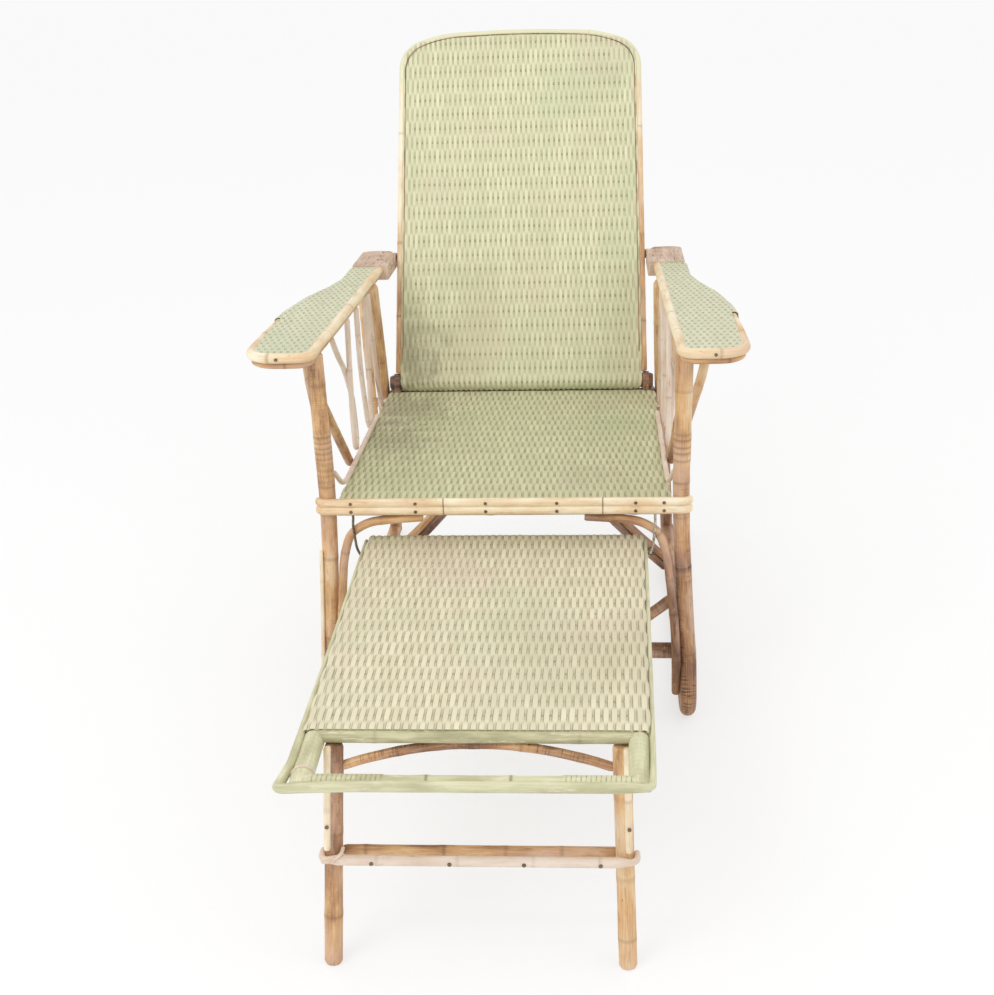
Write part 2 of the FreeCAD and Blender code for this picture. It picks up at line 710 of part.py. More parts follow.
def leaned(shape):
    turned = shape.copy()
    turned.rotate(vec(0, 0, 0), vec(1, 0, 0), -back_recline)
    turned.translate(vec(0, hinge_y, hinge_z))
    return turned


hoop_depth = hoop_d / 2 + back_rear + 0.9
hoop = pole(hoop_points(hoop_d / 2, hoop_depth, hoop_foot), hoop_d)
inner_inset = hoop_d + weave_gap + inner_pole_d / 2
inner_depth = inner_pole_d / 2 + back_rear + 0.6
back_rail = cylinder(vec(-back_rail_half, 0, 0), vec(back_rail_half, 0, 0), back_rail_d)
inner_pole = pole(hoop_points(inner_inset, inner_depth, 2.0), inner_pole_d)
inner_pole = fitted(inner_pole, back_rail)
panel_depth = inner_depth + inner_pole_d / 2 + joint_gap
panel_inset = hoop_d + weave_gap
panel_line = hoop_points(panel_inset, panel_depth, 0.0)
closing = Part.LineSegment(panel_line[-1], panel_line[0]).toShape()
back_face = Part.Face(Part.Wire(rounded_path(panel_line).Edges + [closing]))
back_sheet = back_face.extrude(vec(0, -back_panel_t, 0))
roll_r = back_rail_d / 2 + joint_gap + back_roll_t
roll = cylinder(vec(-back_roll_half, 0, 0), vec(back_roll_half, 0, 0), 2 * roll_r)
back_panel = back_sheet.fuse(roll).removeSplitter()
back_panel = fitted(back_panel, cylinder(vec(-300, 0, 0), vec(300, 0, 0), back_rail_d + 2 * joint_gap),
                    pole(hoop_points(inner_inset, inner_depth, 2.0), inner_pole_d + 2 * joint_gap))
parts["back_bottom_rail"] = leaned(back_rail)
parts["back_hoop"] = leaned(hoop)
parts["back_inner_pole"] = leaned(inner_pole)
parts["back_panel"] = leaned(back_panel)

# Cane lashings that hold the back's bottom rail on the side rails
lash_end = lashing_x + lashing_w
bar_ring = back_rail_d / 2 + seat_gap
lash_half = bar_ring + lashing_t
upper = cylinder(vec(lashing_x, hinge_y, hinge_z), vec(lash_end, hinge_y, hinge_z), 2 * lash_half)
waist_corner = vec(lashing_x, hinge_y - lash_half, side_rail_z)
waist = Part.makeBox(lashing_w, 2 * lash_half, hinge_z - side_rail_z, waist_corner)
wrap_foot = vec(side_rail_x(hinge_y - lash_half), hinge_y - lash_half, side_rail_z)
wrap_top = vec(side_rail_x(hinge_y + lash_half), hinge_y + lash_half, side_rail_z)
wrap = cylinder(wrap_foot, wrap_top, seat_rail_d + 2 * rail_wrap_t)
lashing = upper.fuse([waist, wrap]).removeSplitter()
bore = cylinder(vec(lashing_x - 40, hinge_y, hinge_z), vec(lash_end + 40, hinge_y, hinge_z), 2 * bar_ring)
rail_bore = cylinder(side_rail_front, side_rail_rear, seat_rail_d + 2 * joint_gap)
lashing = fitted(lashing, bore, rail_bore, rear_leg)
both("hinge_lashings", lashing)

# Footrest
rail_z = footrest_top - footrest_panel_t - joint_gap - foot_rail_d / 2
strip_gap = foot_rail_d / 2 + edge_strip_t / 2 + seat_gap


def foot_rail_x(y):
    return mix(foot_rail_x_rear, foot_rail_x_front, (footrest_rear - y) / (footrest_rear - footrest_front))


front_bar_y = footrest_front + edge_strip_t + joint_gap + foot_front_bar_d / 2


def across(half, y, rise):
    """The ends of a crosswise pole of the footrest; it lies higher than the side rails by rise."""
    return vec(-half, y, rail_z + rise), vec(half, y, rail_z + rise)


foot_bar_line = across(foot_rail_x(front_bar_y), front_bar_y, (foot_rail_d - foot_front_bar_d) / 2)
foot_rail_points = [vec(foot_rail_x(footrest_rear), footrest_rear, rail_z)]
foot_rail_points.append(vec(foot_rail_x(front_bar_y), front_bar_y - foot_front_bar_d / 2, rail_z))
edge_z_mid = rail_z + edge_strip_rise
edge_points = [
    vec(foot_rail_x(footrest_rear) + strip_gap, footrest_rear, edge_z_mid),
    vec(foot_rail_x(footrest_front) + strip_gap, footrest_front + edge_strip_t / 2, edge_z_mid),
    vec(-foot_rail_x(footrest_front) - strip_gap, footrest_front + edge_strip_t / 2, edge_z_mid),
    vec(-foot_rail_x(footrest_rear) - strip_gap, footrest_rear, edge_z_mid),
]
edge_strip = strip(edge_points, edge_strip_t, edge_strip_h, [None, edge_corner, edge_corner, None])
parts["footrest_edge_strip"] = edge_strip
rail_under = rail_z - foot_rail_d / 2
paring = [
    vec(0, footrest_front, rail_under + foot_rail_pared),
    vec(0, footrest_front, rail_under - foot_rail_d),
    vec(0, footrest_front + foot_rail_paring, rail_under - foot_rail_pared / 4),
]
pared = Part.Face(Part.makePolygon(paring + [paring[0]])).extrude(vec(2 * foot_rail_x_rear, 0, 0))
foot_rail = fitted(cylinder(foot_rail_points[0], foot_rail_points[1], foot_rail_d), edge_strip, pared)
pair("footrest_side_rail", foot_rail)
foot_left = mirrored(foot_rail)
front_bar = fitted(cylinder(foot_bar_line[0], foot_bar_line[1], foot_front_bar_d), foot_rail, foot_left)
parts["footrest_front_bar"] = front_bar
middle_line = across(foot_rail_x_rear, foot_middle_rail_y, (foot_rail_d - foot_middle_rail_d) / 2)
middle_rail = fitted(cylinder(middle_line[0], middle_line[1], foot_middle_rail_d), foot_rail, foot_left)
parts["footrest_middle_rail"] = middle_rail
rear_line_y = footrest_rear - foot_rear_rail_d / 2
rear_line = across(foot_rail_x_rear, rear_line_y, (foot_rail_d - foot_rear_rail_d) / 2)
foot_rear_rail = fitted(cylinder(rear_line[0], rear_line[1], foot_rear_rail_d), foot_rail, foot_left)
parts["footrest_rear_rail"] = foot_rear_rail
panel_x_rear = foot_rail_x(footrest_rear) + foot_rail_d / 2
panel_x_front = foot_rail_x(footrest_panel_front) + foot_rail_d / 2
foot_plan = [(-panel_x_front, footrest_panel_front), (panel_x_front, footrest_panel_front)]
foot_plan += [(panel_x_rear, footrest_rear), (-panel_x_rear, footrest_rear)]
foot_panel = plate([vec(x, y, footrest_top) for x, y in foot_plan], [3.0, 3.0, 6.0, 6.0], footrest_panel_t)
parts["footrest_panel"] = foot_panel

# Footrest legs with their split strips, stretchers and arch
leg_top = vec(foot_leg_top_x, foot_leg_top_y, rail_z + 2.0)
leg_foot = vec(foot_leg_foot_x, foot_leg_foot_y, 0)
leg_run = leg_foot - leg_top
foot_leg = floor_cut(cylinder(leg_top, leg_foot + leg_run * 0.1, foot_leg_d))
middle_room = cylinder(middle_line[0], middle_line[1], foot_middle_rail_d + 2 * joint_gap)
foot_leg = fitted(foot_leg, foot_rail, middle_room)
pair("footrest_leg", foot_leg)


def foot_leg_at(z, dx=0.0, dy=0.0):
    return along(leg_foot, leg_top, z / leg_top.z) + vec(dx, dy, 0)


strip_side = foot_leg_d / 2 + joint_gap + 0.6


def foot_strip_at(z, lift=0.0):
    """Middle of the split strip on the front of the leg, or a place that much further to the front."""
    return foot_leg_at(z, 0.5 * strip_side, -0.86 * strip_side - lift)


foot_strip_top = foot_strip_at(rail_z)
foot_strip = cylinder(foot_strip_top, foot_strip_at(foot_stretcher_z + 9.0), foot_strip_w)
foot_strip = fitted(foot_strip, foot_leg, foot_rail)
both("footrest_leg_strips", foot_strip)
stretch_leg = foot_leg_at(foot_stretcher_z)
behind = stretch_leg.y + (foot_leg_d + foot_stretcher_d) / 2 * 0.62
stretch_end = vec(stretch_leg.x, behind, foot_stretcher_z - foot_stretcher_drop)
stretch_start = vec(-stretch_end.x, stretch_end.y, stretch_end.z)
stretch_rear = cylinder(stretch_start, stretch_end, foot_stretcher_d)
stretch_rear = fitted(stretch_rear, foot_leg, mirrored(foot_leg))
parts["footrest_stretcher_rear"] = stretch_rear
ahead = stretch_leg.y - (foot_leg_d + foot_stretcher_d) / 2 - joint_gap
wrap_r = (foot_leg_d + foot_stretcher_d) / 2 - foot_stretcher_pared
wrap_end = stretch_leg.y + 3.0
wrap_points = [
    vec(stretch_leg.x + wrap_r, wrap_end, foot_stretcher_z),
    vec(stretch_leg.x + wrap_r, ahead, foot_stretcher_z),
    vec(-stretch_leg.x - wrap_r, ahead, foot_stretcher_z),
    vec(-stretch_leg.x - wrap_r, wrap_end, foot_stretcher_z),
]
stretch_front = pole(wrap_points, foot_stretcher_d, [None, wrap_r, wrap_r, None])
stretch_front = fitted(stretch_front, foot_leg, mirrored(foot_leg), foot_strip, mirrored(foot_strip))
parts["footrest_stretcher_front"] = stretch_front
foot_arch_end_z = rail_z - foot_arch_drop
arch_end = foot_leg_at(foot_arch_end_z, 0.0, 0.0)
foot_arch_y = arch_end.y + 10.0
foot_arch_line = []
for share in (1.0, 0.8, 0.52, 0.2, -0.2, -0.52, -0.8, -1.0):
    height = foot_arch_end_z + foot_arch_rise * (1 - share * share)
    foot_arch_line.append(vec(arch_end.x * share, mix(arch_end.y + 4.0, foot_arch_y, 1 - abs(share)), height))
foot_arch = fitted(pole(foot_arch_line, foot_arch_d), foot_leg, mirrored(foot_leg), middle_rail)
parts["footrest_arch"] = foot_arch

# Wire hooks that hang from the front rail and carry the footrest's side rails
hook_low = rail_z - foot_rail_d / 2 - seat_gap - hook_d / 2
hook_y = arch_hang_y - (arch_d + hook_d) / 2 - seat_gap
hook_tip_x = foot_rail_x(hook_y - footrest_travel) - (foot_rail_d + hook_d) / 2 - hook_tip_gap
hook_points = [
    vec(hook_x, -(front_rail_d - hook_d) / 2, front_rail_z),
    vec(hook_x, -(front_rail_d - hook_d) / 2, front_rail_z - front_rail_d / 2),
    vec(hook_x, hook_y, front_rail_z - front_rail_d / 2 - 10.0),
    vec(hook_x - 3.5, hook_y, rail_z + 4.0),
    vec(foot_rail_x(hook_y) + foot_rail_d / 2 + edge_strip_t - 2.0, hook_y, hook_low),
    vec(hook_tip_x + 7.0, hook_y, hook_low),
    vec(hook_tip_x, hook_y, hook_low + 9.0),
]
hook = fitted(pole(hook_points, hook_d), front_rail)
both("footrest_hooks", hook)

# Nail heads


def nail(place):
    """A head that lies on the front of a cane, whose face is at place."""
    back = place + vec(0, -joint_gap, 0)
    return cylinder(back, back + vec(0, -nail_head_t, 0), nail_head_d)


trim_face = -(leg_d / 2 + joint_gap + trim_t)
frame_heads = [nail(vec(x, trim_face, z)) for x in trim_nail_x for z in (upper_z, lower_z)]
arm_head = level(nail(vec(arm_nail_x, arm_front, edge_z)))
parts["frame_nails"] = Part.makeCompound(frame_heads + [arm_head, mirrored(arm_head)])
foot_heads = [nail(vec(x, ahead - foot_stretcher_d / 2, foot_stretcher_z)) for x in stretcher_nail_x]
strip_head = nail(foot_strip_at(strip_nail_z, foot_strip_w / 2 + lean_gap))
parts["footrest_nails"] = Part.makeCompound(foot_heads + [strip_head, mirrored(strip_head)])

# Move everything so that the origin lies under the middle of the chair, and write it
rear_most = max(shape.optimalBoundingBox(False, False).YMax for shape in (parts["back_hoop"], rear_leg))
front_most = edge_strip.optimalBoundingBox(False, False).YMin
shift = vec(0, -(rear_most + front_most) / 2, 0)
print("front leg line at y %.3f" % shift.y)
print("back hinge at y %.3f z %.3f" % (hinge_y + shift.y, hinge_z))
print("support bar at y %.3f z %.3f" % (bar_y + shift.y, bar_z))
print("footrest foot at x %.3f y %.3f" % (leg_foot.x, leg_foot.y + shift.y))
os.makedirs("parts", exist_ok=True)
for name, shape in parts.items():
    placed = shape.copy()
    placed.translate(shift)
    placed.exportStep("parts/" + name + ".step")
    box = placed.BoundBox
    print("%-26s solids %d valid %s volume %9.0f  z %.1f..%.1f" % (
        name, len(placed.Solids), placed.isValid(), placed.Volume, box.ZMin, box.ZMax))
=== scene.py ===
import math
import random

import bpy
import numpy as np
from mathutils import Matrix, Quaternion, Vector


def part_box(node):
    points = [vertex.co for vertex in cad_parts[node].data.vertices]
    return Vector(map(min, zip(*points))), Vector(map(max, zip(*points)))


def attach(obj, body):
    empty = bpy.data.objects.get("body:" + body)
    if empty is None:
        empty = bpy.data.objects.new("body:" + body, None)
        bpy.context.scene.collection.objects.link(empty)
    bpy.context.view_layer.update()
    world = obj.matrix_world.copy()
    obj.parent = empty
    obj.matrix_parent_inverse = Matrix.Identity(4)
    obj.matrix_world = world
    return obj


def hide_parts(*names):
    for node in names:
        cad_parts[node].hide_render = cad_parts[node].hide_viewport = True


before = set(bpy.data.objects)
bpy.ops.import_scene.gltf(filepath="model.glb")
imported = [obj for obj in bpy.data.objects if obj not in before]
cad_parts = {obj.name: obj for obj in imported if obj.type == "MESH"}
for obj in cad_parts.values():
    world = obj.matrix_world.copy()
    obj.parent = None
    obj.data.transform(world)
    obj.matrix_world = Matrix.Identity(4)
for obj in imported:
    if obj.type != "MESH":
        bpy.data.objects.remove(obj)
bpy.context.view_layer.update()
frontLine = (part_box("front_rail")[0][1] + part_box("front_rail")[1][1]) / 2  # Y of the front legs
print("frame loaded, front legs at", round(frontLine, 4))

sides = ((1, "right"), (-1, "left"))

# Places below are in millimetres: X across, Y back from the front legs, Z up from the floor.


imageWide = 994  # pixels
camera = {
    "spot": (0.1521, -1.9881, 1.2),  # metres, Y from the front legs
    "down": 22.27,
    "turn": 3.76,
    "roll": -1.75,
    "sensor": 36,
    "lens": 1400 / imageWide * 36,
    "shift": -20 / imageWide,
}


def setCamera():
    down, turn, roll = (math.radians(camera[k]) for k in ("down", "turn", "roll"))
    ahead = Vector((-math.sin(turn) * math.cos(down), math.cos(turn) * math.cos(down), -math.sin(down)))
    flat = Vector((math.cos(turn), math.sin(turn), 0))
    top = flat.cross(ahead)
    right = flat * math.cos(roll) + top * math.sin(roll)
    up = top * math.cos(roll) - flat * math.sin(roll)
    bpy.ops.object.camera_add()
    cam = bpy.context.object
    x, y, z = camera["spot"]
    cam.location = (x, y + frontLine, z)
    cam.rotation_mode = "QUATERNION"
    turned = cam.matrix_world.to_3x3()
    for row in range(3):
        turned[row] = (right[row], up[row], -ahead[row])
    cam.rotation_quaternion = turned.to_quaternion()
    cam.data.lens = camera["lens"]
    cam.data.sensor_width = camera["sensor"]
    cam.data.sensor_fit = "HORIZONTAL"
    cam.data.shift_x = camera["shift"]
    bpy.context.scene.camera = cam


setCamera()
print("camera set")

# Finishes
bench = {}  # the finish in work: its material, its node tree and its shader


def startFinish(name):
    material = bpy.data.materials.new(name)
    material.use_nodes = True
    bench["material"], bench["tree"] = material, material.node_tree
    bench["shader"] = material.node_tree.nodes["Principled BSDF"]


def link(source, socket):
    bench["tree"].links.new(source, socket)


def add(kind, sockets=None, **settings):
    item = bench["tree"].nodes.new(kind)
    for key, value in settings.items():
        setattr(item, key, value)
    for key, value in (sockets or {}).items():
        if isinstance(value, bpy.types.NodeSocket):
            link(value, item.inputs[key])
        else:
            item.inputs[key].default_value = value
    return item


def noise(vector, scale, detail=3.0, rough=0.55):
    made = add("ShaderNodeTexNoise", {"Vector": vector, "Scale": scale, "Detail": detail,
                                            "Roughness": rough})
    return made.outputs["Fac"]


def streaks(vector, scale, detail=3.0, rough=0.55):  # noise that is stretched along one axis
    spread = add("ShaderNodeMapping", {"Vector": vector, "Scale": scale}).outputs["Vector"]
    return noise(spread, 1.0, detail, rough)


def ranged(value, low, high, outLow=0.0, outHigh=1.0):
    made = add("ShaderNodeMapRange", {"Value": value, "From Min": low, "From Max": high,
                                            "To Min": outLow, "To Max": outHigh})
    return made.outputs["Result"]


def times(a, b):
    return add("ShaderNodeMath", {0: a, 1: b}, operation="MULTIPLY").outputs[0]


def plus(a, b):
    return add("ShaderNodeMath", {0: a, 1: b}, operation="ADD").outputs[0]


def blendColour(share, a, b):
    made = add("ShaderNodeMix", data_type="RGBA")
    for key, value in ((0, share), (6, a), (7, b)):
        if isinstance(value, bpy.types.NodeSocket):
            link(value, made.inputs[key])
        elif key == 0:
            made.inputs[key].default_value = value
        else:
            made.inputs[key].default_value = (*value, 1)
    return made.outputs[2]


def ramp(value, stops):
    made = add("ShaderNodeValToRGB", {"Fac": value})
    elements = made.color_ramp.elements
    while len(elements) > 2:
        elements.remove(elements[-1])
    for i, (at, colour) in enumerate(stops):
        element = elements[i] if i < 2 else elements.new(at)
        element.position = at
        element.color = (*colour, 1)
    return made.outputs["Color"]


def endFinish(colour, rough, *relief):  # relief: height, strength and distance of the bumps
    shader = bench["shader"]
    link(colour, shader.inputs["Base Color"])
    if isinstance(rough, bpy.types.NodeSocket):
        link(rough, shader.inputs["Roughness"])
    else:
        shader.inputs["Roughness"].default_value = rough
    if relief:
        height, strength, distance = relief
        made = add("ShaderNodeBump", {"Height": height, "Strength": strength, "Distance": distance})
        link(made.outputs["Normal"], shader.inputs["Normal"])
    return bench["material"]


def fact(name, output="Vector"):
    return add("ShaderNodeAttribute", attribute_name=name).outputs[output]


def tint(red, green, blue):  # a colour as it looks on the screen, turned into light
    return tuple(((c / 255 + 0.055) / 1.055) ** 2.4 for c in (red, green, blue))


def runOf(along):  # a cane's own run, or the object's own X for a piece that lies across
    if along == "grain":
        return fact("grain")
    return add("ShaderNodeTexCoord").outputs["Object"]


def firstOf(vector):
    return add("ShaderNodeSeparateXYZ", {"Vector": vector}).outputs[0]


def nearLine(value, at, half):  # 1 close to a place along the run, 0 away from it
    away = add("ShaderNodeMath", {0: value, 1: at}, operation="SUBTRACT").outputs[0]
    size = add("ShaderNodeMath", {0: away}, operation="ABSOLUTE").outputs[0]
    return ranged(size, half, half * 2.2, 1.0, 0.0)


rattanLook = {
    "tones": [(0.0, tint(245, 234, 206)), (0.2, tint(233, 209, 172)), (0.42, tint(216, 173, 122)),
              (0.64, tint(168, 122, 86)), (0.82, tint(118, 85, 64)), (1.0, tint(58, 39, 31))],
    "knot": tint(96, 66, 48),
    "blush": tint(208, 174, 156),
    "scuff": tint(228, 210, 190),
    "gloss": 0.42,
}


def makeRattan(name, look, ringed=0.0, along="grain", tones=None, marks=(), painted=None):
    startFinish(name)
    grain = runOf(along)
    tone = ranged(firstOf(grain), *tones) if tones else fact("tone", "Fac")
    wide = streaks(grain, (14, 40, 40), 4)
    fibre = streaks(grain, (22, 900, 900), 3)
    rings = streaks(grain, (430, 26, 26), 2)
    ringMask = ranged(streaks(grain, (12, 60, 60), 2), 0.40, 0.58)
    # The wide spread of the wide and fibre streaks is partly the cane's own tone and partly painted shade
    # for the darker sides of the poles.
    shade = plus(tone, ranged(wide, 0.3, 0.7, -0.19, 0.19))
    shade = plus(shade, ranged(fibre, 0.3, 0.7, -0.10, 0.11))
    ringMask = times(ringMask, ranged(tone, 0.46, 0.60, 0.12, 1.0))
    ringDark = times(ranged(rings, 0.50, 0.66), times(ringMask, 0.06 + 0.26 * ringed))
    shade = plus(shade, ringDark)
    colour = ramp(shade, look["tones"])
    blush = ranged(streaks(grain, (9, 34, 34), 3), 0.46, 0.66, 0, 0.6)
    colour = blendColour(times(blush, ranged(tone, 0.05, 0.4)), colour, look["blush"])
    spots = ranged(streaks(grain, (110, 210, 210), 2), 0.72, 0.77)
    colour = blendColour(times(spots, 0.4), colour, look["knot"])
    # Dark brown patches: painted shade for the shaded sides of the poles, mixed with real grime.
    grimeAndShade = ranged(streaks(grain, (20, 120, 120), 4, 0.65), 0.57, 0.70)
    grimeAndShade = times(grimeAndShade, ranged(tone, 0.2, 0.7, 0.15, 0.75))
    colour = blendColour(grimeAndShade, colour, look["knot"])
    scuffs = ranged(streaks(grain, (46, 150, 150), 5, 0.7), 0.60, 0.72)
    scuffs = times(scuffs, ranged(tone, 0.35, 0.8, 0.1, 0.7))
    colour = blendColour(scuffs, colour, look["scuff"])
    colour = blendColour(times(fact("knot", "Fac"), 0.62), colour, look["knot"])
    for at in marks:
        line = nearLine(firstOf(grain), at, 0.0007)
        colour = blendColour(times(line, 0.7), colour, look["knot"])
    if painted:  # old paint from one height upwards, with a ragged edge
        here = add("ShaderNodeTexCoord").outputs["Object"]
        height = add("ShaderNodeSeparateXYZ", {"Vector": here}).outputs[2]
        ragged = plus(height, ranged(noise(here, 30, 4), 0.3, 0.7, -0.03, 0.03))
        cover = times(ranged(ragged, painted["from"], painted["to"]),
                      ranged(noise(here, 160, 3), 0.68, 0.60, 0.35, 0.92))
        colour = blendColour(cover, colour, painted["colour"])
    rough = ranged(wide, 0.3, 0.7, look["gloss"] - 0.07, look["gloss"] + 0.16)
    height = plus(times(fibre, 0.35), times(ringDark, -1.6))
    return endFinish(colour, rough, height, 0.4, 0.0012)


def makePeeled(name, pale, tan, mark):
    startFinish(name)
    grain = fact("grain")
    tone = fact("tone", "Fac")
    wide = streaks(grain, (16, 60, 60), 4)
    fibre = streaks(grain, (30, 1300, 1300), 3)
    colour = blendColour(ranged(plus(wide, times(tone, 0.6)), 0.40, 0.9), pale, tan)
    colour = blendColour(ranged(fibre, 0.55, 0.78, 0, 0.3), colour, mark)
    dirt = ranged(streaks(grain, (50, 160, 160), 4), 0.62, 0.76, 0, 0.5)
    colour = blendColour(dirt, colour, mark)
    colour = blendColour(times(fact("knot", "Fac"), 0.5), colour, mark)
    return endFinish(colour, 0.68, fibre, 0.5, 0.0006)


def makePaintedCane(name, pale, green, olive, bare, seam=0.4):
    startFinish(name)
    grain = fact("grain")
    wide = streaks(grain, (13, 50, 50), 4)
    streak = streaks(grain, (18, 380, 380), 3)
    colour = blendColour(ranged(streak, 0.38, 0.66), green, pale)
    colour = blendColour(ranged(wide, 0.44, 0.64, 0, 0.85), colour, olive)
    worn = ranged(streaks(grain, (30, 200, 200), 5, 0.7), 0.56, 0.66, 0, 0.8)
    colour = blendColour(worn, colour, bare)
    colour = blendColour(times(fact("knot", "Fac"), seam), colour, tint(112, 104, 74))
    return endFinish(colour, 0.55, plus(streak, times(worn, -0.4)), 0.35, 0.0008)


weaveLook = {
    "back": {"pale": tint(230, 229, 193), "middle": tint(214, 212, 175), "sunkShadeAndPatch": tint(192, 190, 154),
             "green": tint(200, 207, 168), "warm": tint(218, 207, 178), "dark": tint(132, 126, 94),
             "sunkShadeShare": 0.65, "shadowDashShare": 0.26},
    "seat": {"pale": tint(218, 217, 179), "middle": tint(202, 201, 163), "sunkShadeAndPatch": tint(178, 176, 138),
             "green": tint(184, 191, 150), "warm": tint(200, 190, 162), "dark": tint(102, 97, 70),
             "sunkShadeShare": 0.7, "shadowDashShare": 0.36},
    "foot": {"pale": tint(233, 225, 197), "middle": tint(217, 208, 179), "sunkShadeAndPatch": tint(195, 186, 155),
             "green": tint(204, 205, 172), "warm": tint(216, 200, 176), "dark": tint(124, 111, 84),
             "sunkShadeShare": 0.65, "shadowDashShare": 0.6},
    "arm": {"pale": tint(217, 216, 188), "middle": tint(204, 204, 175), "sunkShadeAndPatch": tint(198, 198, 168),
            "green": tint(190, 200, 166), "warm": tint(206, 198, 175), "dark": tint(158, 154, 124),
            "sunkShadeShare": 0.5, "shadowDashShare": 0.05},
}


def makeReed(name, look, darkerPlaces=()):
    startFinish(name)
    here = add("ShaderNodeTexCoord").outputs["Object"]
    facts = add("ShaderNodeSeparateXYZ", {"Vector": fact("reed")})
    lie, cell, strand = facts.outputs[0], facts.outputs[1], facts.outputs[2]
    side = fact("side", "Fac")
    fine = streaks(fact("grain"), (90, 1500, 600), 3)
    shade = plus(times(cell, 0.5), times(strand, 0.35))
    shade = plus(shade, ranged(fine, 0.35, 0.65, -0.15, 0.15))
    colour = blendColour(ranged(shade, 0.2, 0.9), look["middle"], look["pale"])
    # Painted shade: reeds turn darker where they dive under the stakes and their neighbours.
    colour = blendColour(ranged(lie, 0.5, -0.8, 0, look["sunkShadeShare"]), colour, look["sunkShadeAndPatch"])
    # Broad colour patches; the third uses the same darker colour as the painted shade of the sunk reeds.
    for key, size, low in (("green", 4.6, 0.50), ("warm", 6.2, 0.52), ("sunkShadeAndPatch", 2.8, 0.54)):
        patch = ranged(noise(here, size, 3), low, low + 0.16, 0, 0.6)
        colour = blendColour(patch, colour, look[key])
    # Painted shadow: a dark dash on one side of each reed where it dives under, shade from light falling
    # from the upper left.
    shadowDashes = times(ranged(lie, 0.1, -0.7), ranged(side, 0.0, 0.7))
    colour = blendColour(times(shadowDashes, look["shadowDashShare"]), colour, look["dark"])
    specks = ranged(noise(here, 240, 2), 0.70, 0.76, 0, 0.4)
    colour = blendColour(specks, colour, look["dark"])
    for spot, radius, strength in darkerPlaces:  # places in metres where the weave is made darker
        away = add("ShaderNodeVectorMath", {0: here, 1: spot}, operation="DISTANCE").outputs["Value"]
        ragged = plus(away, ranged(noise(here, 34, 4), 0.3, 0.7, -0.5 * radius, 0.5 * radius))
        colour = blendColour(ranged(ragged, 0.3 * radius, radius, strength, 0), colour, look["dark"])
    return endFinish(colour, 0.55, fine, 0.35, 0.0006)


def makeStake(name, colourA, colourB):
    startFinish(name)
    here = add("ShaderNodeTexCoord").outputs["Object"]
    colour = blendColour(ranged(noise(here, 60, 3), 0.35, 0.65), colourA, colourB)
    return endFinish(colour, 0.7)


def makeBlockWood(name, pale, brown, dark):
    startFinish(name)
    here = add("ShaderNodeTexCoord").outputs["Object"]
    grainy = streaks(here, (420, 22, 420), 4)
    wide = streaks(here, (40, 14, 40), 4)
    colour = blendColour(ranged(wide, 0.35, 0.66), pale, brown)
    colour = blendColour(ranged(grainy, 0.50, 0.74, 0, 0.6), colour, dark)
    cracks = ranged(streaks(here, (260, 9, 260), 2), 0.66, 0.70, 0, 0.7)
    colour = blendColour(cracks, colour, dark)
    return endFinish(colour, 0.75, plus(grainy, times(cracks, -0.8)), 0.5, 0.0012)


def makeIron(name, dark, rust):
    startFinish(name)
    here = add("ShaderNodeTexCoord").outputs["Object"]
    patchy = noise(here, 240, 4)
    colour = blendColour(ranged(patchy, 0.42, 0.62), dark, rust)
    bench["shader"].inputs["Metallic"].default_value = 0.7
    return endFinish(colour, ranged(patchy, 0.4, 0.65, 0.3, 0.75), patchy, 0.3, 0.0004)


paints = (tint(218, 216, 181), tint(202, 200, 162), tint(178, 173, 135), tint(228, 215, 190))
railPaints = (tint(204, 199, 162), tint(178, 173, 134), tint(142, 136, 100), tint(228, 216, 188))
hoopPaint = {"from": 0.90, "to": 0.955, "colour": tint(222, 221, 185)}
backDarkening = (((-0.235, 0.49, 0.47), 0.10, 0.4), ((-0.20, 0.48, 0.42), 0.06, 0.25))
seatDarkening = (((-0.22, 0.20, 0.38), 0.10, 0.3), ((-0.20, 0.36, 0.38), 0.09, 0.3))
finishes = {
    "rattan": makeRattan("rattan bark", rattanLook),
    "ringed": makeRattan("ringed rattan bark", rattanLook, 1.0),
    "hoop": makeRattan("half painted rattan", rattanLook, painted=hoopPaint),
    "trim": makeRattan("split rattan", rattanLook, 0.0, "x", (-0.28, -0.08, 0.34, 0.14), (-0.091, 0.153)),
    "bound": makeRattan("bound cane", rattanLook, 1.6, "x", (-1, 1, 0.80, 0.80)),
    "peeled": makePeeled("peeled cane", tint(238, 224, 210), tint(212, 184, 162), tint(146, 116, 96)),
    "painted": makePaintedCane("painted cane", *paints, seam=0.16),
    "ribbed": makePaintedCane("ribbed winding", *paints, seam=0.8),
    "crossRail": makePaintedCane("painted cross rail", *railPaints),
    "backReed": makeReed("back reed", weaveLook["back"], backDarkening),
    "seatReed": makeReed("seat reed", weaveLook["seat"], seatDarkening),
    "footReed": makeReed("footrest reed", weaveLook["foot"]),
    "armReed": makeReed("arm reed", weaveLook["arm"]),
    "stake": makeStake("stake cane", tint(160, 156, 122), tint(184, 179, 145)),
    "block": makeBlockWood("weathered wood", tint(220, 196, 176), tint(186, 158, 136), tint(118, 92, 76)),
    "iron": makeIron("old wire", tint(92, 86, 80), tint(150, 122, 98)),
    "wire": makeIron("bright wire", tint(206, 198, 186), tint(160, 142, 122)),
}
print("finishes made", len(finishes))

# Canes: a path is bent, thickened, and then given its knots, its taper or its winding


def pickOnly(piece):
    bpy.ops.object.select_all(action="DESELECT")
    piece.select_set(True)
    bpy.context.view_layer.objects.active = piece


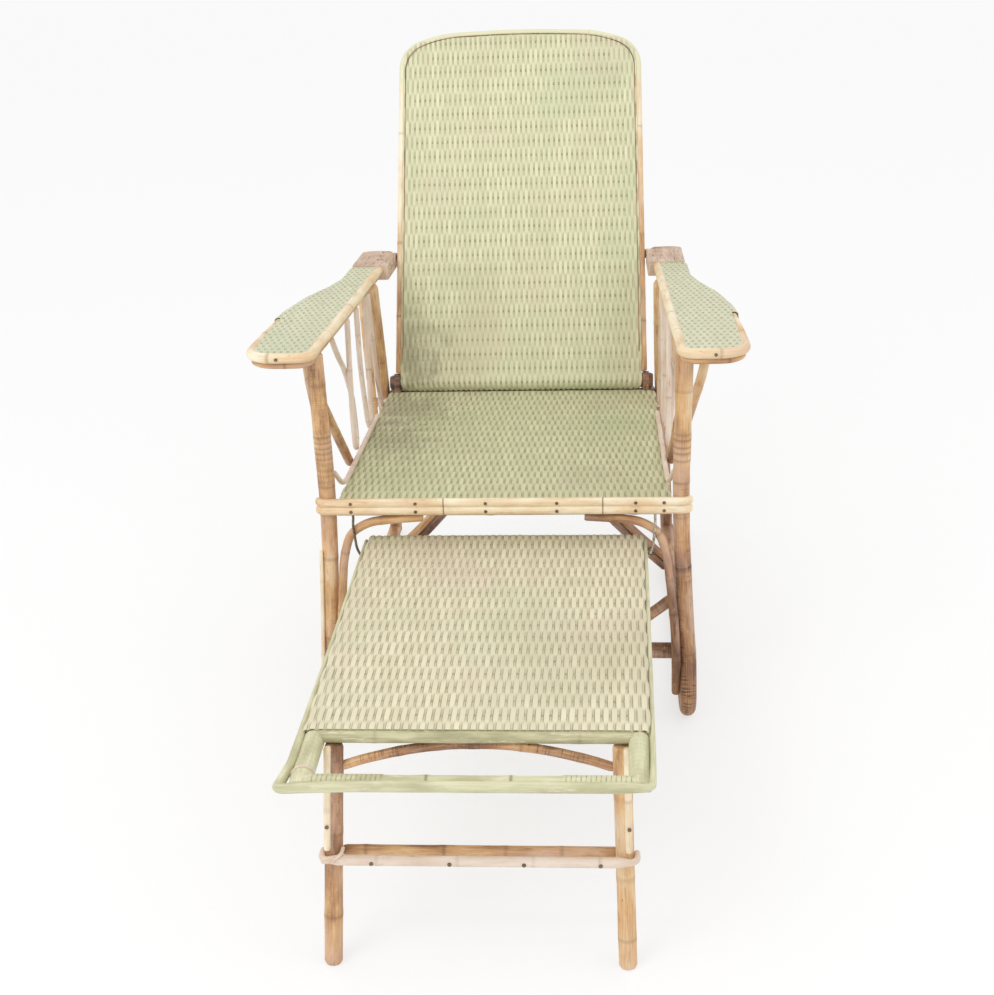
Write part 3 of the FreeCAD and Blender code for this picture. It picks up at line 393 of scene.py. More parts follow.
def bentLine(points, radii, step):  # straight runs joined by tangent arcs, then even steps
    points = [Vector(p) for p in points]
    line = [points[0]]
    for i in range(1, len(points) - 1):
        back = points[i - 1] - points[i]
        ahead = points[i + 1] - points[i]
        turn = math.pi - back.angle(ahead)
        if turn < 0.004:
            continue
        reach = 0.45 * min(back.length, ahead.length)
        if radii and radii[i]:
            reach = min(reach, radii[i] * math.tan(turn / 2))
        start = points[i] + back.normalized() * reach
        between = (back.normalized() + ahead.normalized()).normalized()
        middle = points[i] + between * (reach / math.sin(turn / 2))
        axis = (start - middle).cross(-back)
        for k in range(9):
            line.append(middle + Quaternion(axis, turn * k / 8) @ (start - middle))
    line.append(points[-1])
    line = np.array([tuple(p) for p in line])
    run = np.concatenate(([0], np.cumsum(np.linalg.norm(np.diff(line, axis=0), axis=1))))
    count = max(3, int(run[-1] / step) + 1)
    even = np.linspace(0, run[-1], count)
    return np.stack([np.interp(even, run, line[:, i]) for i in range(3)], axis=1), even


def giveFact(piece, name, values, kind="FLOAT"):
    made = piece.data.attributes.new(name, kind, "POINT")
    made.data.foreach_set("value" if kind == "FLOAT" else "vector",
                          np.asarray(values, dtype=np.float32).ravel())


def placesOf(mesh):
    spots = np.empty(len(mesh.vertices) * 3)
    mesh.vertices.foreach_get("co", spots)
    return spots.reshape(-1, 3)


def putPlaces(mesh, x, y, z):  # from millimetres
    put = np.stack([x / 1000, y / 1000 + frontLine, z / 1000], axis=1)
    mesh.vertices.foreach_set("co", put.ravel())


def wear(piece, finish):
    piece.data.materials.clear()
    piece.data.materials.append(finishes[finish])


def editAll():  # every corner of the active piece, ready for a change
    bpy.ops.object.mode_set(mode="EDIT")
    bpy.ops.mesh.select_all(action="SELECT")


def endEdit():
    bpy.ops.object.mode_set(mode="OBJECT")


caneHabit = {
    "firstKnot": (0.3, 0.9),  # shares of the gap between knots
    "nextKnot": (0.7, 1.25),
    "knotForce": (0.35, 1.0),
    "knotLong": 6.0,  # millimetres
    "lineLong": 1.9,
    "lineAfter": 2.0,
    "endRoom": 25,
    "drift": 0.02,
    "smooth": math.radians(50),
}


def cane(name, body, stands, points, width, finish="rattan", radii=None, step=4.0, knots=None, gap=190.0,
         swell=0.06, tones=((0, 0.3),), winding=None, cut=0.10, sides=6, taper=((0, 1), (1, 1)),
         reshape=None):
    luck = random.Random(name + "0")
    line, run = bentLine(points, radii, step)
    count = len(line)
    bpy.ops.curve.primitive_nurbs_path_add()
    path = bpy.context.object
    path.name = name
    path.location = (0, 0, 0)
    path.data.splines.clear()
    spline = path.data.splines.new("POLY")
    spline.points.add(count - 1)
    flat = np.ones((count, 4))
    flat[:, :3] = line / 1000
    flat[:, 1] += frontLine
    spline.points.foreach_set("co", flat.ravel())
    path.data.bevel_depth = width / 2000
    path.data.bevel_resolution = sides
    path.data.twist_mode = "MINIMUM"
    pickOnly(path)
    bpy.ops.object.convert(target="MESH")
    piece = bpy.context.object
    mesh = piece.data
    around = len(mesh.vertices) // count
    if around * count != len(mesh.vertices):
        raise RuntimeError("rings of " + name)
    spots = placesOf(mesh).reshape(count, around, 3)
    centre = flat[:, None, :3]
    arm = spots - centre
    size = np.ones(count)
    if knots is None:
        knots = []
        at = luck.uniform(*caneHabit["firstKnot"]) * gap
        while at < run[-1] - caneHabit["endRoom"]:
            knots.append(at)
            at += luck.uniform(*caneHabit["nextKnot"]) * gap
    knot = np.zeros(count)
    for at in knots:
        force = luck.uniform(*caneHabit["knotForce"])
        size += swell * force * np.exp(-((run - at) / caneHabit["knotLong"]) ** 2)
        past = run - at - caneHabit["lineAfter"]
        knot = np.maximum(knot, force * np.exp(-(past / caneHabit["lineLong"]) ** 2))
    most = caneHabit["drift"]
    drift = np.interp(run, np.linspace(0, run[-1], 6), [luck.uniform(-most, most) for _ in range(6)])
    size = (size + drift) * np.interp(run / run[-1], [t[0] for t in taper], [t[1] for t in taper])
    turns = np.arange(around) / around * 2 * math.pi
    grow = np.repeat(size[:, None], around, axis=1)
    knot = np.repeat(knot[:, None], around, axis=1)
    if winding:
        for first, last, pitch, lift in winding:
            inside = (run >= first) & (run <= last)
            phase = ((run[:, None] - first) / pitch + turns[None, :] / (2 * math.pi)) % 1.0
            shape = np.minimum(1, 2.6 * np.sqrt(np.maximum(0, phase * (1 - phase))))
            grow += inside[:, None] * (shape * lift / (width / 2))
            seam = np.exp(-((np.minimum(phase, 1 - phase)) / 0.07) ** 2)
            knot = np.maximum(knot, inside[:, None] * seam)
    edge = np.minimum(run, run[-1] - run) / (width * cut + 1e-6)
    grow *= (1 - cut * 1.4 * np.clip(1 - edge, 0, 1) ** 2)[:, None]
    spots = centre + arm * grow[:, :, None]
    if reshape:  # a last change to its places in millimetres
        local = (spots - np.array((0, frontLine, 0))) * 1000
        spots = reshape(local) / 1000 + np.array((0, frontLine, 0))
    mesh.vertices.foreach_set("co", spots.ravel())
    editAll()
    bpy.ops.mesh.fill_holes(sides=0)
    bpy.ops.mesh.normals_make_consistent(inside=False)
    endEdit()
    bpy.ops.object.shade_smooth_by_angle(angle=caneHabit["smooth"])
    shift = luck.uniform(0, 30)
    half = width / 2000
    grain = np.stack([np.repeat((run / 1000 + shift)[:, None], around, axis=1),
                      np.repeat((np.cos(turns) * half)[None, :], count, axis=0),
                      np.repeat((np.sin(turns) * half)[None, :], count, axis=0)], axis=2)
    giveFact(piece, "grain", grain, "FLOAT_VECTOR")
    giveFact(piece, "knot", np.clip(knot, 0, 1))
    shares = [t[0] for t in tones]
    tone = np.interp(run / run[-1], shares, [t[1] for t in tones])
    giveFact(piece, "tone", np.repeat(tone[:, None], around, axis=1))
    wear(piece, finish)
    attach(piece, body)
    if stands:
        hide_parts(stands)
    return piece


def mirroredPoints(points, side):
    return [(side * x, y, z) for x, y, z in points]


def canePair(name, body, stands, points, width, **more):
    for side, word in sides:
        cane(name + "_" + word, body, stands + "_" + word if stands else None, mirroredPoints(points, side),
             width, **more)


# Seat frame and legs
legs = {
    "route": [(274.6, 0, 617), (272.2, 0, 394), (274.6, 0, 318.7), (280.7, 0, 207.4), (286.2, 0, 130.6),
              (288.5, 0, 103.7), (288.5, -36, 13), (288.5, 110, 13)],
    "bends": [None] * 6 + [42, None],
    "tones": {"right": ((0, 0.36), (0.24, 0.40), (0.3, 0.5), (0.41, 0.46), (0.47, 0.62), (0.62, 0.62),
                        (0.74, 0.70), (0.9, 0.62), (1, 0.6)),
              "left": ((0, 0.50), (0.15, 0.46), (0.3, 0.54), (0.36, 0.46), (0.5, 0.42), (0.62, 0.52),
                       (0.74, 0.6), (1, 0.6))},
    "knots": {"right": (60, 128, 137, 148, 158, 170, 205, 262, 352, 372, 500),
              "left": (45, 119, 128, 136, 145, 153, 162, 171, 180, 190, 199, 208, 330, 470)},
    "swell": {"right": 0.05, "left": 0.035},
}
for side, word in sides:
    cane("leg_" + word, "frame", "front_leg_" + word, mirroredPoints(legs["route"], side), 26, "ringed",
         legs["bends"], 3.0, legs["knots"][word], swell=legs["swell"][word], tones=legs["tones"][word])
canePair("back_leg", "frame", "rear_leg", [(256.2, 438, 611), (264.3, 552.2, 384), (288, 742, 6)], 25,
         tones=((0, 0.40), (0.45, 0.45), (0.65, 0.6), (1, 0.66)), gap=210)
canePair("runner", "frame", "floor_runner", [(288.5, 110.4, 13), (288.5, 744, 13)], 26,
         tones=((0, 0.66), (0.5, 0.55), (1, 0.6)))
cane("rail_front", "frame", "front_rail", [(-262, 0, 368), (262, 0, 368)], 24, tones=((0, 0.62), (1, 0.62)))
canePair("rail_side", "frame", "side_rail", [(247.9, 8, 368), (239.7, 578, 368)], 24,
         tones=((0, 0.55), (0.8, 0.6), (1, 0.7)))
cane("rail_rear", "frame", "rear_rail", [(-232, 508, 369), (232, 508, 369)], 22, tones=((0, 0.5), (1, 0.5)))
canePair("post", "frame", "rear_post", [(261.7, 415, 364), (293.3, 545.8, 602.7)], 15,
         tones=((0, 0.46), (1, 0.32)), gap=120)
cane("stretcher_low", "frame", "lower_stretcher", [(-277, 12, 112), (277, 12, 112)], 26, "ringed",
     tones=((0, 0.66), (0.5, 0.6), (1, 0.72)), gap=170)
canePair("brace_corner", "frame", None, [(272, 13.8, 211.5), (164, 12.1, 125.5)], 18, finish="ringed",
         gap=70, tones=((0, 0.70), (1, 0.60)), swell=0.09)
archRoute = [(269, -10.2, 46), (268.5, -10.2, 115.2), (265.2, -10.2, 172.8), (258.7, -10.2, 234.2),
             (252.8, -9.2, 288), (240.2, -8.2, 329), (210.2, -6.7, 347.5), (169.2, -6.2, 352),
             (125, -6.2, 355)]
cane("arch_right", "frame", "arch_brace_right", archRoute, 14,
     tones=((0, 0.72), (0.45, 0.78), (0.6, 0.72), (0.72, 0.5), (0.86, 0.62), (1, 0.85)), gap=85)
cane("arch_left", "frame", "arch_brace_left", mirroredPoints(archRoute, -1), 14,
     tones=((0, 0.6), (0.4, 0.48), (0.8, 0.42), (1, 0.4)), gap=110)
struts = {
    "outer": [(286.2, 531, 26.5), (207.3, 531, 101.3), (155.8, 531, 158.4), (101.4, 531, 228.9),
              (62.9, 529, 293), (45, 515.5, 352)],
    "inner": [(275.8, 531, 15.5), (196.6, 531, 90.7), (144.2, 531, 148.8), (89, 531, 220.4),
              (49.1, 529, 286.9), (30.5, 515.5, 349)],
}
# Dark tones on the right outer strut and on both inner struts are painted shade for the shaded underside
# behind the footrest; the left outer strut keeps its own tone.
strutTonesAndShade = {"right": ((0, 0.62), (0.5, 0.75), (0.75, 0.95), (1, 0.98)), "left": ((0, 0.5), (1, 0.5))}
for side, word in sides:
    cane("strut_outer_" + word, "frame", "rear_strut_" + word, mirroredPoints(struts["outer"], side), 15,
         gap=120, tones=strutTonesAndShade[word])
    cane("strut_inner_" + word, "frame", None, mirroredPoints(struts["inner"], side), 15, gap=120,
         tones=((0, 0.7), (0.6, 0.8), (1, 0.95)))
canePair("diagonal", "frame", None, [(272.8, 12, 538.8), (265.4, 166, 380.2)], 15, finish="ringed",
         tones=((0, 0.5), (1, 0.56)), gap=80)
canePair("knee", "frame", None, [(276, 8, 492), (313.8, 120.4, 554.7), (331.4, 204, 623)], 15,
         tones=((0, 0.36), (1, 0.3)), gap=130)
cane("leg_split_left", "frame", "leg_strip_left",
     [(-287.9, -10.8, 300), (-292.4, -10.8, 216), (-298.3, -10.8, 132), (-300.7, -28, 60)], 6,
     tones=((0, 0.10), (1, 0.14)), gap=120)
print("seat frame and legs made")

# Arms
arms = {
    "edge": [(358.5, 150, 632.5), (358.5, -74.5, 632.5), (266.5, -74.5, 632.5), (266.5, 0, 632.5),
             (262.7, 127.2, 632.5), (259.3, 280.9, 632.5), (254.5, 529.7, 632.5)],
    "low": [(355.5, 150, 620.8), (355.5, -71.5, 620.8), (269.5, -71.5, 620.8), (269.5, 0, 620.8),
            (265.7, 127.2, 620.8), (262.3, 280.9, 620.8), (257.5, 529.7, 620.8)],
    "outer": [(355.9, 150.8, 627.9), (352.4, 200, 627.9), (335.2, 300, 627.9), (312.2, 370, 627.9),
              (298.4, 440, 627.9), (298.4, 529.7, 627.9)],
    "bends": [None, 40.5, 20, None, None, None, None],
    "tilt": math.tan(math.radians(1.21)),
    "front": -82.0,
    "knots": {"right": (120, 243, 404, 512), "left": (96, 238, 420, 590)},
    "edgeTones": ((0, 0.22), (0.25, 0.2), (0.37, 0.18), (0.5, 0.12), (0.8, 0.10), (1, 0.24)),
    "edgeTaper": ((0, 0.5), (0.10, 0.86), (0.18, 1), (1, 1)),
}


def armTilted(points):
    return [(x, y, z - arms["tilt"] * (y - arms["front"])) for x, y, z in points]


for side, word in sides:
    cane("arm_edge_" + word, "frame", "arm_edge_pole_" + word,
         mirroredPoints(armTilted(arms["edge"]), side), 15, "rattan", arms["bends"], 2.5,
         arms["knots"][word], swell=0.05, tones=arms["edgeTones"], taper=arms["edgeTaper"])
    cane("arm_low_" + word, "frame", "arm_lower_pole_" + word, mirroredPoints(armTilted(arms["low"]), side),
         9, "rattan", arms["bends"], 2.5, tones=((0, 0.5), (0.3, 0.46), (1, 0.4)), gap=140)
    cane("arm_outer_" + word, "frame", "arm_outer_pole_" + word,
         mirroredPoints(armTilted(arms["outer"]), side), 14, tones=((0, 0.3), (1, 0.4)), gap=140)

# Bent canes below the arms
bends = {
    "low": ([(263.2, 20, 420), (255.6, 34, 396), (254.3, 66, 388.1), (252.7, 226, 388.1),
             (251, 386, 388.1)], 8),
    "loop": ([(260.8, 211, 612.2), (261.7, 206, 532.7), (261.7, 200, 442.1), (261.7, 203, 397.9),
              (264.2, 229, 381), (267.7, 256, 400.3), (270.4, 258, 465.3), (271.8, 214, 525.8),
              (269.2, 150, 569.9), (265.5, 92, 614.7)], 9),
    "u": ([(259.1, 291, 610.5), (261.6, 304, 500.2), (260.8, 334, 395.6), (260.6, 354, 372),
           (260.4, 372, 402.6), (260.3, 384, 500.2), (257.3, 380, 608.6)], 9),
    "rear": ([(256.9, 400, 608.2), (257.5, 420, 528.1), (258.6, 452, 442.1), (257.7, 474, 382),
              (257.5, 496, 362), (257, 528, 369)], 9),
}
for side, word in sides:
    for label, (route, width) in bends.items():
        midTone = 0.5 if label == "rear" else 0.15
        cane("bent_" + label + "_" + word, "frame", "bent_canes_" + word if label == "low" else None,
             mirroredPoints(route, side), width, "peeled", None, 3.0, gap=150,
             tones=((0, 0.1), (0.5, midTone), (1, 0.25)))


def wound(name, body, start, end, radius, turns, width, **more):  # a thin cane wound round a pole
    start, end = Vector(start), Vector(end)
    axis = (end - start).normalized()
    side = axis.orthogonal().normalized()
    count = turns * 14
    route = []
    for i in range(count + 1):
        arm = Quaternion(axis, 2 * math.pi * i / 14) @ side
        route.append(tuple(start + (end - start) * (i / count) + arm * radius))
    return cane(name, body, None, route, width, radii=[0.001] * len(route), step=2.2, knots=(), sides=2,
                **more)


for side, word in sides:
    foot, top = mirroredPoints([(264.9, 428.2, 388.1), (266.8, 436.2, 402.6)], side)
    binding = wound("post_binding_" + word, "frame", foot, top, 8.4, 6, 2.7, tones=((0, 0.3), (1, 0.45)))
    if side > 0:
        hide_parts("post_bindings")
print("arms made")

# Backrest
hinge = {"y": 548.0, "z": 397.5, "lean": math.radians(24), "roll": 15.4}


def leaned(points):
    c, s = math.cos(hinge["lean"]), math.sin(hinge["lean"])
    return [(x, hinge["y"] + y * c + z * s, hinge["z"] - y * s + z * c) for x, y, z in points]


hoop = [(231, -7.5, 17), (223, -7.5, 634.7), (147.2, -7.5, 660), (0, -7.5, 665.2), (-147.2, -7.5, 660),
        (-223, -7.5, 634.7), (-231, -7.5, 17)]
innerPole = [(218.2, -5.2, 2), (210.2, -5.2, 623.2), (138.7, -5.2, 647.2), (0, -5.2, 652.4),
             (-138.7, -5.2, 647.2), (-210.2, -5.2, 623.2), (-218.2, -5.2, 2)]
cane("hoop", "backrest", "back_hoop", leaned(hoop), 14, "hoop", None, 3.0,
     (92, 255, 460, 700, 980, 1210, 1420, 1560, 1690), swell=0.05,
     tones=((0, 0.52), (0.14, 0.42), (0.22, 0.26), (0.34, 0.16), (0.45, 0.05), (0.66, 0), (0.82, 0.04),
            (0.88, 0.3), (1, 0.5)))
# A thin dark cane along the weave's edge: a painted shadow line between the hoop and the weave.
backEdge = [(223.2, -16.2, 52), (217, -16.2, 630), (144, -16.3, 655.8), (0, -16.3, 661),
            (-144, -16.3, 655.8), (-217, -16.2, 630), (-223.2, -16.2, 52)]
cane("back_edge_reed", "backrest", None, leaned(backEdge), 1.8, tones=((0, 0.7), (0.5, 0.78), (1, 0.7)),
     knots=())
cane("hoop_inner", "backrest", "back_inner_pole", leaned(innerPole), 10, tones=((0, 0.5), (1, 0.5)))
cane("hinge_bar", "backrest", "back_bottom_rail", leaned([(-249, 0, 0), (249, 0, 0)]), 27, "ringed",
     tones=((0, 0.9), (0.06, 0.84), (0.5, 0.6), (0.94, 0.84), (1, 0.9)), knots=(12, 486))
cane("bar", "support_bar", "support_bar", [(-258, 654.7, 614.4), (258, 654.7, 614.4)], 17,
     tones=((0, 0.7), (0.5, 0.5), (1, 0.7)), gap=150)
print("back made")

# Footrest
footCanes = {
    "pared": ((-669, 301.1), (-609, 284.9)),  # Y and Z of the cut below the front ends of the side rails
    "sideWinding": ((576, 668, 9.0, 0.35),),
    "frontWinding": ((8, 92, 5.6, 1.0), (296, 374, 5.6, 1.0)),
    "legs": {"right": [(173.8, -560.9, 296), (181.2, -597, 0.3)],
             "left": [(-170.8, -560.9, 296), (-187.8, -597, 0.3)]},
    "legStrips": {"right": [(179.6, -571, 298), (182.2, -587.6, 163)],
                  "left": [(-177, -571, 298), (-184.6, -587.6, 163)]},
    # The left leg's darker upper tones are painted shade beside its split strip; the right leg keeps its
    # own tones.
    "legTones": {"right": ((0, 0.5), (0.35, 0.36), (1, 0.36)),
                 "left": ((0, 0.78), (0.4, 0.66), (0.8, 0.46), (1, 0.56))},
    "bandHigh": 15.0,
    "bandFront": -669.0,
    "bandRoute": [(-218.5, 12, 307.5), (-210, -560, 308.0), (-209.5, -612, 306.5), (-218.5, -658, 301),
                  (-190, -661.5, 304), (-140, -661.5, 306.6), (206, -661.5, 306.6), (209.5, -600, 307.5),
                  (218.5, 12, 307.5)],
    "bandBends": [None, None, 60, 7, 40, None, 13, None, None],
    "bandTaper": ((0, 0.42), (0.22, 0.44), (0.33, 0.66), (0.385, 0.9), (0.42, 1), (0.60, 1), (0.625, 0.6),
                  (0.65, 0.46), (1, 0.42)),
}


def paredBelow(spots):
    (rear, low), (front, high) = footCanes["pared"][1], footCanes["pared"][0]
    slope = np.where(spots[..., 1] < rear, high + (low - high) * (spots[..., 1] - front) / (rear - front),
                     0)
    spots[..., 2] = np.maximum(spots[..., 2], slope)
    return spots


def flatBand(spots):  # the band across the front is half as deep as it is high
    front, high = footCanes["bandFront"], footCanes["bandHigh"]
    depth = np.clip(spots[..., 1] - front, 0, high)
    fade = np.clip((-540 - spots[..., 1]) / 80, 0, 1)
    spots[..., 1] -= 0.5 * depth * fade
    return spots


canePair("foot_side", "footrest", "footrest_side_rail", [(202.5, 17.5, 300.6), (193.2, -662.7, 300.6)], 25,
         finish="painted", step=1.5, winding=footCanes["sideWinding"], knots=(), reshape=paredBelow)
cane("foot_front", "footrest", "footrest_front_bar", [(-190, -653.9, 304.1), (190, -653.9, 304.1)], 18,
     "ribbed", None, 1.0, (140, 236), winding=footCanes["frontWinding"])
cane("foot_middle", "footrest", "footrest_middle_rail", [(-192, -558, 305.1), (192, -558, 305.1)], 16,
     "crossRail", gap=130)
cane("foot_rear", "footrest", "footrest_rear_rail", [(-191, 8, 303.1), (191, 8, 303.1)], 20,
     tones=((0, 0.5), (1, 0.5)))
for word in ("right", "left"):
    cane("foot_leg_" + word, "footrest", "footrest_leg_" + word, footCanes["legs"][word], 23,
         tones=footCanes["legTones"][word], gap=105, swell=0.05)
for word in ("right", "left"):
    cane("foot_leg_split_" + word, "footrest", None, footCanes["legStrips"][word], 9,
         tones=((0, 0.10), (1, 0.14)), gap=90)
cane("foot_band", "footrest", "footrest_edge_strip", footCanes["bandRoute"], footCanes["bandHigh"],
     "painted", footCanes["bandBends"], 3.0, (), cut=0.3, taper=footCanes["bandTaper"], reshape=flatBand)
wound("foot_wrap_end", "footrest", (-193.7, -634, 300.6), (-193.4, -638, 300.6), 13.6, 1, 2.6,
      finish="peeled")
cane("foot_joint_binding", "footrest", None, [(-192, -584, 149), (-190, -597, 151), (-178, -604.5, 157),
                                              (-166, -597, 163), (-165, -586, 165)], 4.5, "peeled",
     [None, 8, 8, 8, None], 2.0, ())
cane("foot_stretcher_back", "footrest", "footrest_stretcher_rear", [(-169, -567, 148), (169, -567, 148)],
     13, tones=((0, 0.5), (1, 0.52)), gap=90)
cane("foot_stretcher_fore", "footrest", "footrest_stretcher_front",
     [(192.1, -575.2, 154), (192.1, -596.3, 154), (-192.1, -596.3, 154), (-192.1, -575.2, 154)], 13,
     "peeled", [None, 14, 14, None], 2.5, (60, 140, 232, 330), tones=((0, 0.1), (1, 0.1)),
     taper=((0, 0.6), (0.06, 0.62), (0.09, 1), (0.91, 1), (0.94, 0.62), (1, 0.6)))
cane("foot_arch", "footrest", "footrest_arch",
     [(164, -561, 265.4), (138.9, -559.8, 273.9), (90.3, -558.1, 286.1), (34.7, -556.2, 293.7),
      (-34.7, -556.2, 293.7), (-90.3, -558.1, 286.1), (-138.9, -559.8, 273.9), (-164, -561, 265.4)], 12,
     "ringed", tones=((0, 0.5), (0.5, 0.7), (1, 0.5)), gap=60, swell=0.08)
print("footrest made")

# Hooks
hookRoute = [(233, -12, 362), (233, -10, 356), (233, -17.5, 346), (229.5, -17.5, 304.6),
             (218.5, -17.5, 285.8), (186.7, -17.5, 285.8), (179.7, -17.5, 294.8)]
for side, word in sides:
    cane("hook_" + word, "frame", "footrest_hooks" if side > 0 else None, mirroredPoints(hookRoute, side),
         4, "wire" if side > 0 else "iron", None, 2.0, ())
wound("hook_ring_right", "frame", (227.5, -20.5, 301), (227.5, -17.5, 301), 6.0, 1, 2.4, finish="iron")
for word in ("right", "left"):
    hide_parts("corner_braces")
    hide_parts("side_diagonals")
    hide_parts("arm_knees")
    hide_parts("footrest_leg_strips")

# Woven panels: one float of two reeds is shaped, repeated along and across, and laid on its surface
weaves = {
    "back": {"wide": 456.0, "long": 699.0, "reeds": 92, "stake": 27.0, "wave": 0.75, "half": 0.535,
             "bulge": 0.06, "crown": 0.24, "thick": 0.8, "finish": "backReed", "body": "backrest",
             "under": 30.0},
    "seat": {"wide": 514.0, "long": 566.0, "reeds": 98, "stake": 28.0, "wave": 0.8, "half": 0.55,
             "bulge": 0.08, "crown": 0.28, "thick": 0.8, "finish": "seatReed", "body": "frame"},
    "footrest": {"wide": 430.0, "long": 590.0, "reeds": 82, "stake": 33.5, "wave": 0.75, "half": 0.56,
                 "bulge": 0.06, "crown": 0.26, "thick": 0.9, "finish": "footReed", "body": "footrest"},
    "arm": {"wide": 196.0, "long": 606.0, "reeds": 40, "stake": 17.0, "wave": 0.45, "half": 0.56,
            "bulge": 0.05, "crown": 0.16, "thick": 0.8, "finish": "armReed", "body": "frame",
            "lean": 0.122},
}
rowsPerStake = 6


def weaveUnit(wide, stake, wave):  # two reeds over two stakes, side by side
    made = []
    for which in (0, 1):
        bpy.ops.object.select_all(action="DESELECT")
        bpy.ops.mesh.primitive_grid_add(x_subdivisions=2, y_subdivisions=2 * rowsPerStake, size=1,
                                        location=(0, 0, 0))
        reed = bpy.context.object
        editAll()
        bpy.ops.transform.resize(value=(wide * 0.9, 2 * stake, 1))
        bpy.ops.transform.translate(value=((which + 0.5) * wide, stake, 0))
        endEdit()
        spots = placesOf(reed.data)
        bow = np.cos(math.pi * (spots[:, 1] / stake + which))
        spots[:, 2] = wave * np.tanh(1.9 * bow) / math.tanh(1.9)
        reed.data.vertices.foreach_set("co", spots.ravel())
        made.append(reed)
    pickOnly(made[0])
    made[1].select_set(True)
    bpy.ops.object.join()
    return made[0]


def repeat(piece, count, step, merge):
    more = piece.modifiers.new("repeat", "ARRAY")
    more.count = count
    more.use_relative_offset = False
    more.use_constant_offset = True
    more.constant_offset_displace = step
    more.use_merge_vertices = merge
    more.merge_threshold = 0.01
    pickOnly(piece)
    bpy.ops.object.modifier_apply(modifier=more.name)


reedHabit = {"every": 9.0, "sway": 0.08, "shake": 0.06, "wide": 0.014, "lift": 0.1, "rowShift": 0.7,
             "cellShift": 0.8, "rows": 80}  # millimetres, and as shares of the pitch for the width


def reedPanel(name, spec, lay, seed, outside=None):  # lay(u, v, w) gives places in millimetres for arrays
    luck = np.random.default_rng(seed)
    pitch = spec["wide"] / spec["reeds"]
    piece = weaveUnit(pitch, spec["stake"], spec["wave"])
    piece.name = name
    repeat(piece, int(math.ceil(spec["long"] / spec["stake"] / 2)), (0, 2 * spec["stake"], 0), True)
    repeat(piece, spec["reeds"] // 2, (2 * pitch, 0, 0), False)
    mesh = piece.data
    u, v, w = placesOf(mesh).T
    reed = np.floor(u / pitch).astype(int)
    lie = w / spec["wave"]
    row = np.round(v / spec["stake"]).astype(int)
    rows, every = reedHabit["rows"], reedHabit["every"]
    cells = (spec["reeds"] + 2, rows)
    middle = (reed + 0.5) * pitch
    nodes = np.arange(0, spec["long"] + 60, every)
    sideways = np.interp(v, nodes, luck.normal(0, reedHabit["sway"], len(nodes)))
    sideways = sideways + luck.normal(0, reedHabit["shake"], cells)[reed, (v / every).astype(int) % rows]
    across = (u - middle) / (pitch * 0.45)
    wide = spec["half"] + spec["bulge"] * lie + luck.normal(0, reedHabit["wide"], spec["reeds"] + 2)[reed]
    u = middle + across * wide * pitch + sideways
    w = w + spec["crown"] * (1 - across ** 2) + luck.normal(0, reedHabit["lift"], cells)[reed, row % rows]
    rowShift = luck.normal(0, reedHabit["rowShift"], rows)[row % rows]
    v = v + rowShift + luck.normal(0, reedHabit["cellShift"], cells)[reed, row % rows]
    putPlaces(mesh, *lay(u, v, w))
    cell = luck.random(cells)[reed, row % rows]
    strand = luck.random(spec["reeds"] + 2)[reed]
    giveFact(piece, "reed", np.stack([lie, cell, strand], axis=1), "FLOAT_VECTOR")
    giveFact(piece, "grain", np.stack([v / 1000 + strand * 7, u / 1000, strand], axis=1), "FLOAT_VECTOR")
    giveFact(piece, "side", across)
    pickOnly(piece)
    if outside:  # reeds that run past the panel's edge are cut off there
        for items in (mesh.vertices, mesh.edges, mesh.polygons):
            items.foreach_set("select", np.zeros(len(items), dtype=bool))
        mesh.vertices.foreach_set("select", outside(u, v, pitch, spec["stake"] / rowsPerStake))
        bpy.ops.object.mode_set(mode="EDIT")
        bpy.ops.mesh.select_mode(type="VERT")
        bpy.ops.mesh.delete(type="VERT")
        endEdit()
    editAll()
    bpy.ops.mesh.dissolve_degenerate(threshold=0.00005)
    bpy.ops.mesh.select_all(action="SELECT")
    bpy.ops.mesh.normals_make_consistent(inside=False)
    endEdit()
    wall = piece.modifiers.new("wall", "SOLIDIFY")
    wall.thickness = spec["thick"] / 1000
    wall.offset = 0
    bpy.ops.object.modifier_apply(modifier=wall.name)
    bpy.ops.object.shade_smooth_by_angle(angle=math.radians(35))
    wear(piece, spec["finish"])
    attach(piece, spec["body"])
    return piece


stakeLook = {"wide": 5.0, "thick": 1.3, "parts": 14, "shortest": 12}


def stakeSet(name, spec, lay, ends):  # one flattened cane under every row of floats
    made = []
    rows = int(spec["long"] / spec["stake"]) + 1
    for row in range(rows):
        v = row * spec["stake"]
        left, right = ends(v)
        if right - left < stakeLook["shortest"]:
            continue
        bpy.ops.object.select_all(action="DESELECT")
        bpy.ops.mesh.primitive_cylinder_add(vertices=8, radius=0.5, depth=1, location=(0, 0, 0),
                                            rotation=(0, math.pi / 2, 0))
        rod = bpy.context.object
        bpy.ops.object.transform_apply(location=True, rotation=True, scale=True)
        editAll()
        bpy.ops.transform.resize(value=(right - left, stakeLook["wide"], stakeLook["thick"]))
        bpy.ops.transform.translate(value=((left + right) / 2, v, 0))
        for cut in range(1, stakeLook["parts"]):
            at = left + (right - left) * cut / stakeLook["parts"]
            bpy.ops.mesh.select_all(action="SELECT")
            bpy.ops.mesh.bisect(plane_co=(at, 0, 0), plane_no=(1, 0, 0))
        endEdit()
        made.append(rod)
    bpy.ops.object.select_all(action="DESELECT")
    for rod in made:
        rod.select_set(True)
    bpy.context.view_layer.objects.active = made[0]
    bpy.ops.object.join()
    piece = bpy.context.object
    piece.name = name
    u, v, w = placesOf(piece.data).T
    putPlaces(piece.data, *lay(u, v, w))
    pickOnly(piece)
    bpy.ops.object.shade_smooth_by_angle(angle=caneHabit["smooth"])
    wear(piece, "stake")
    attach(piece, spec["body"])


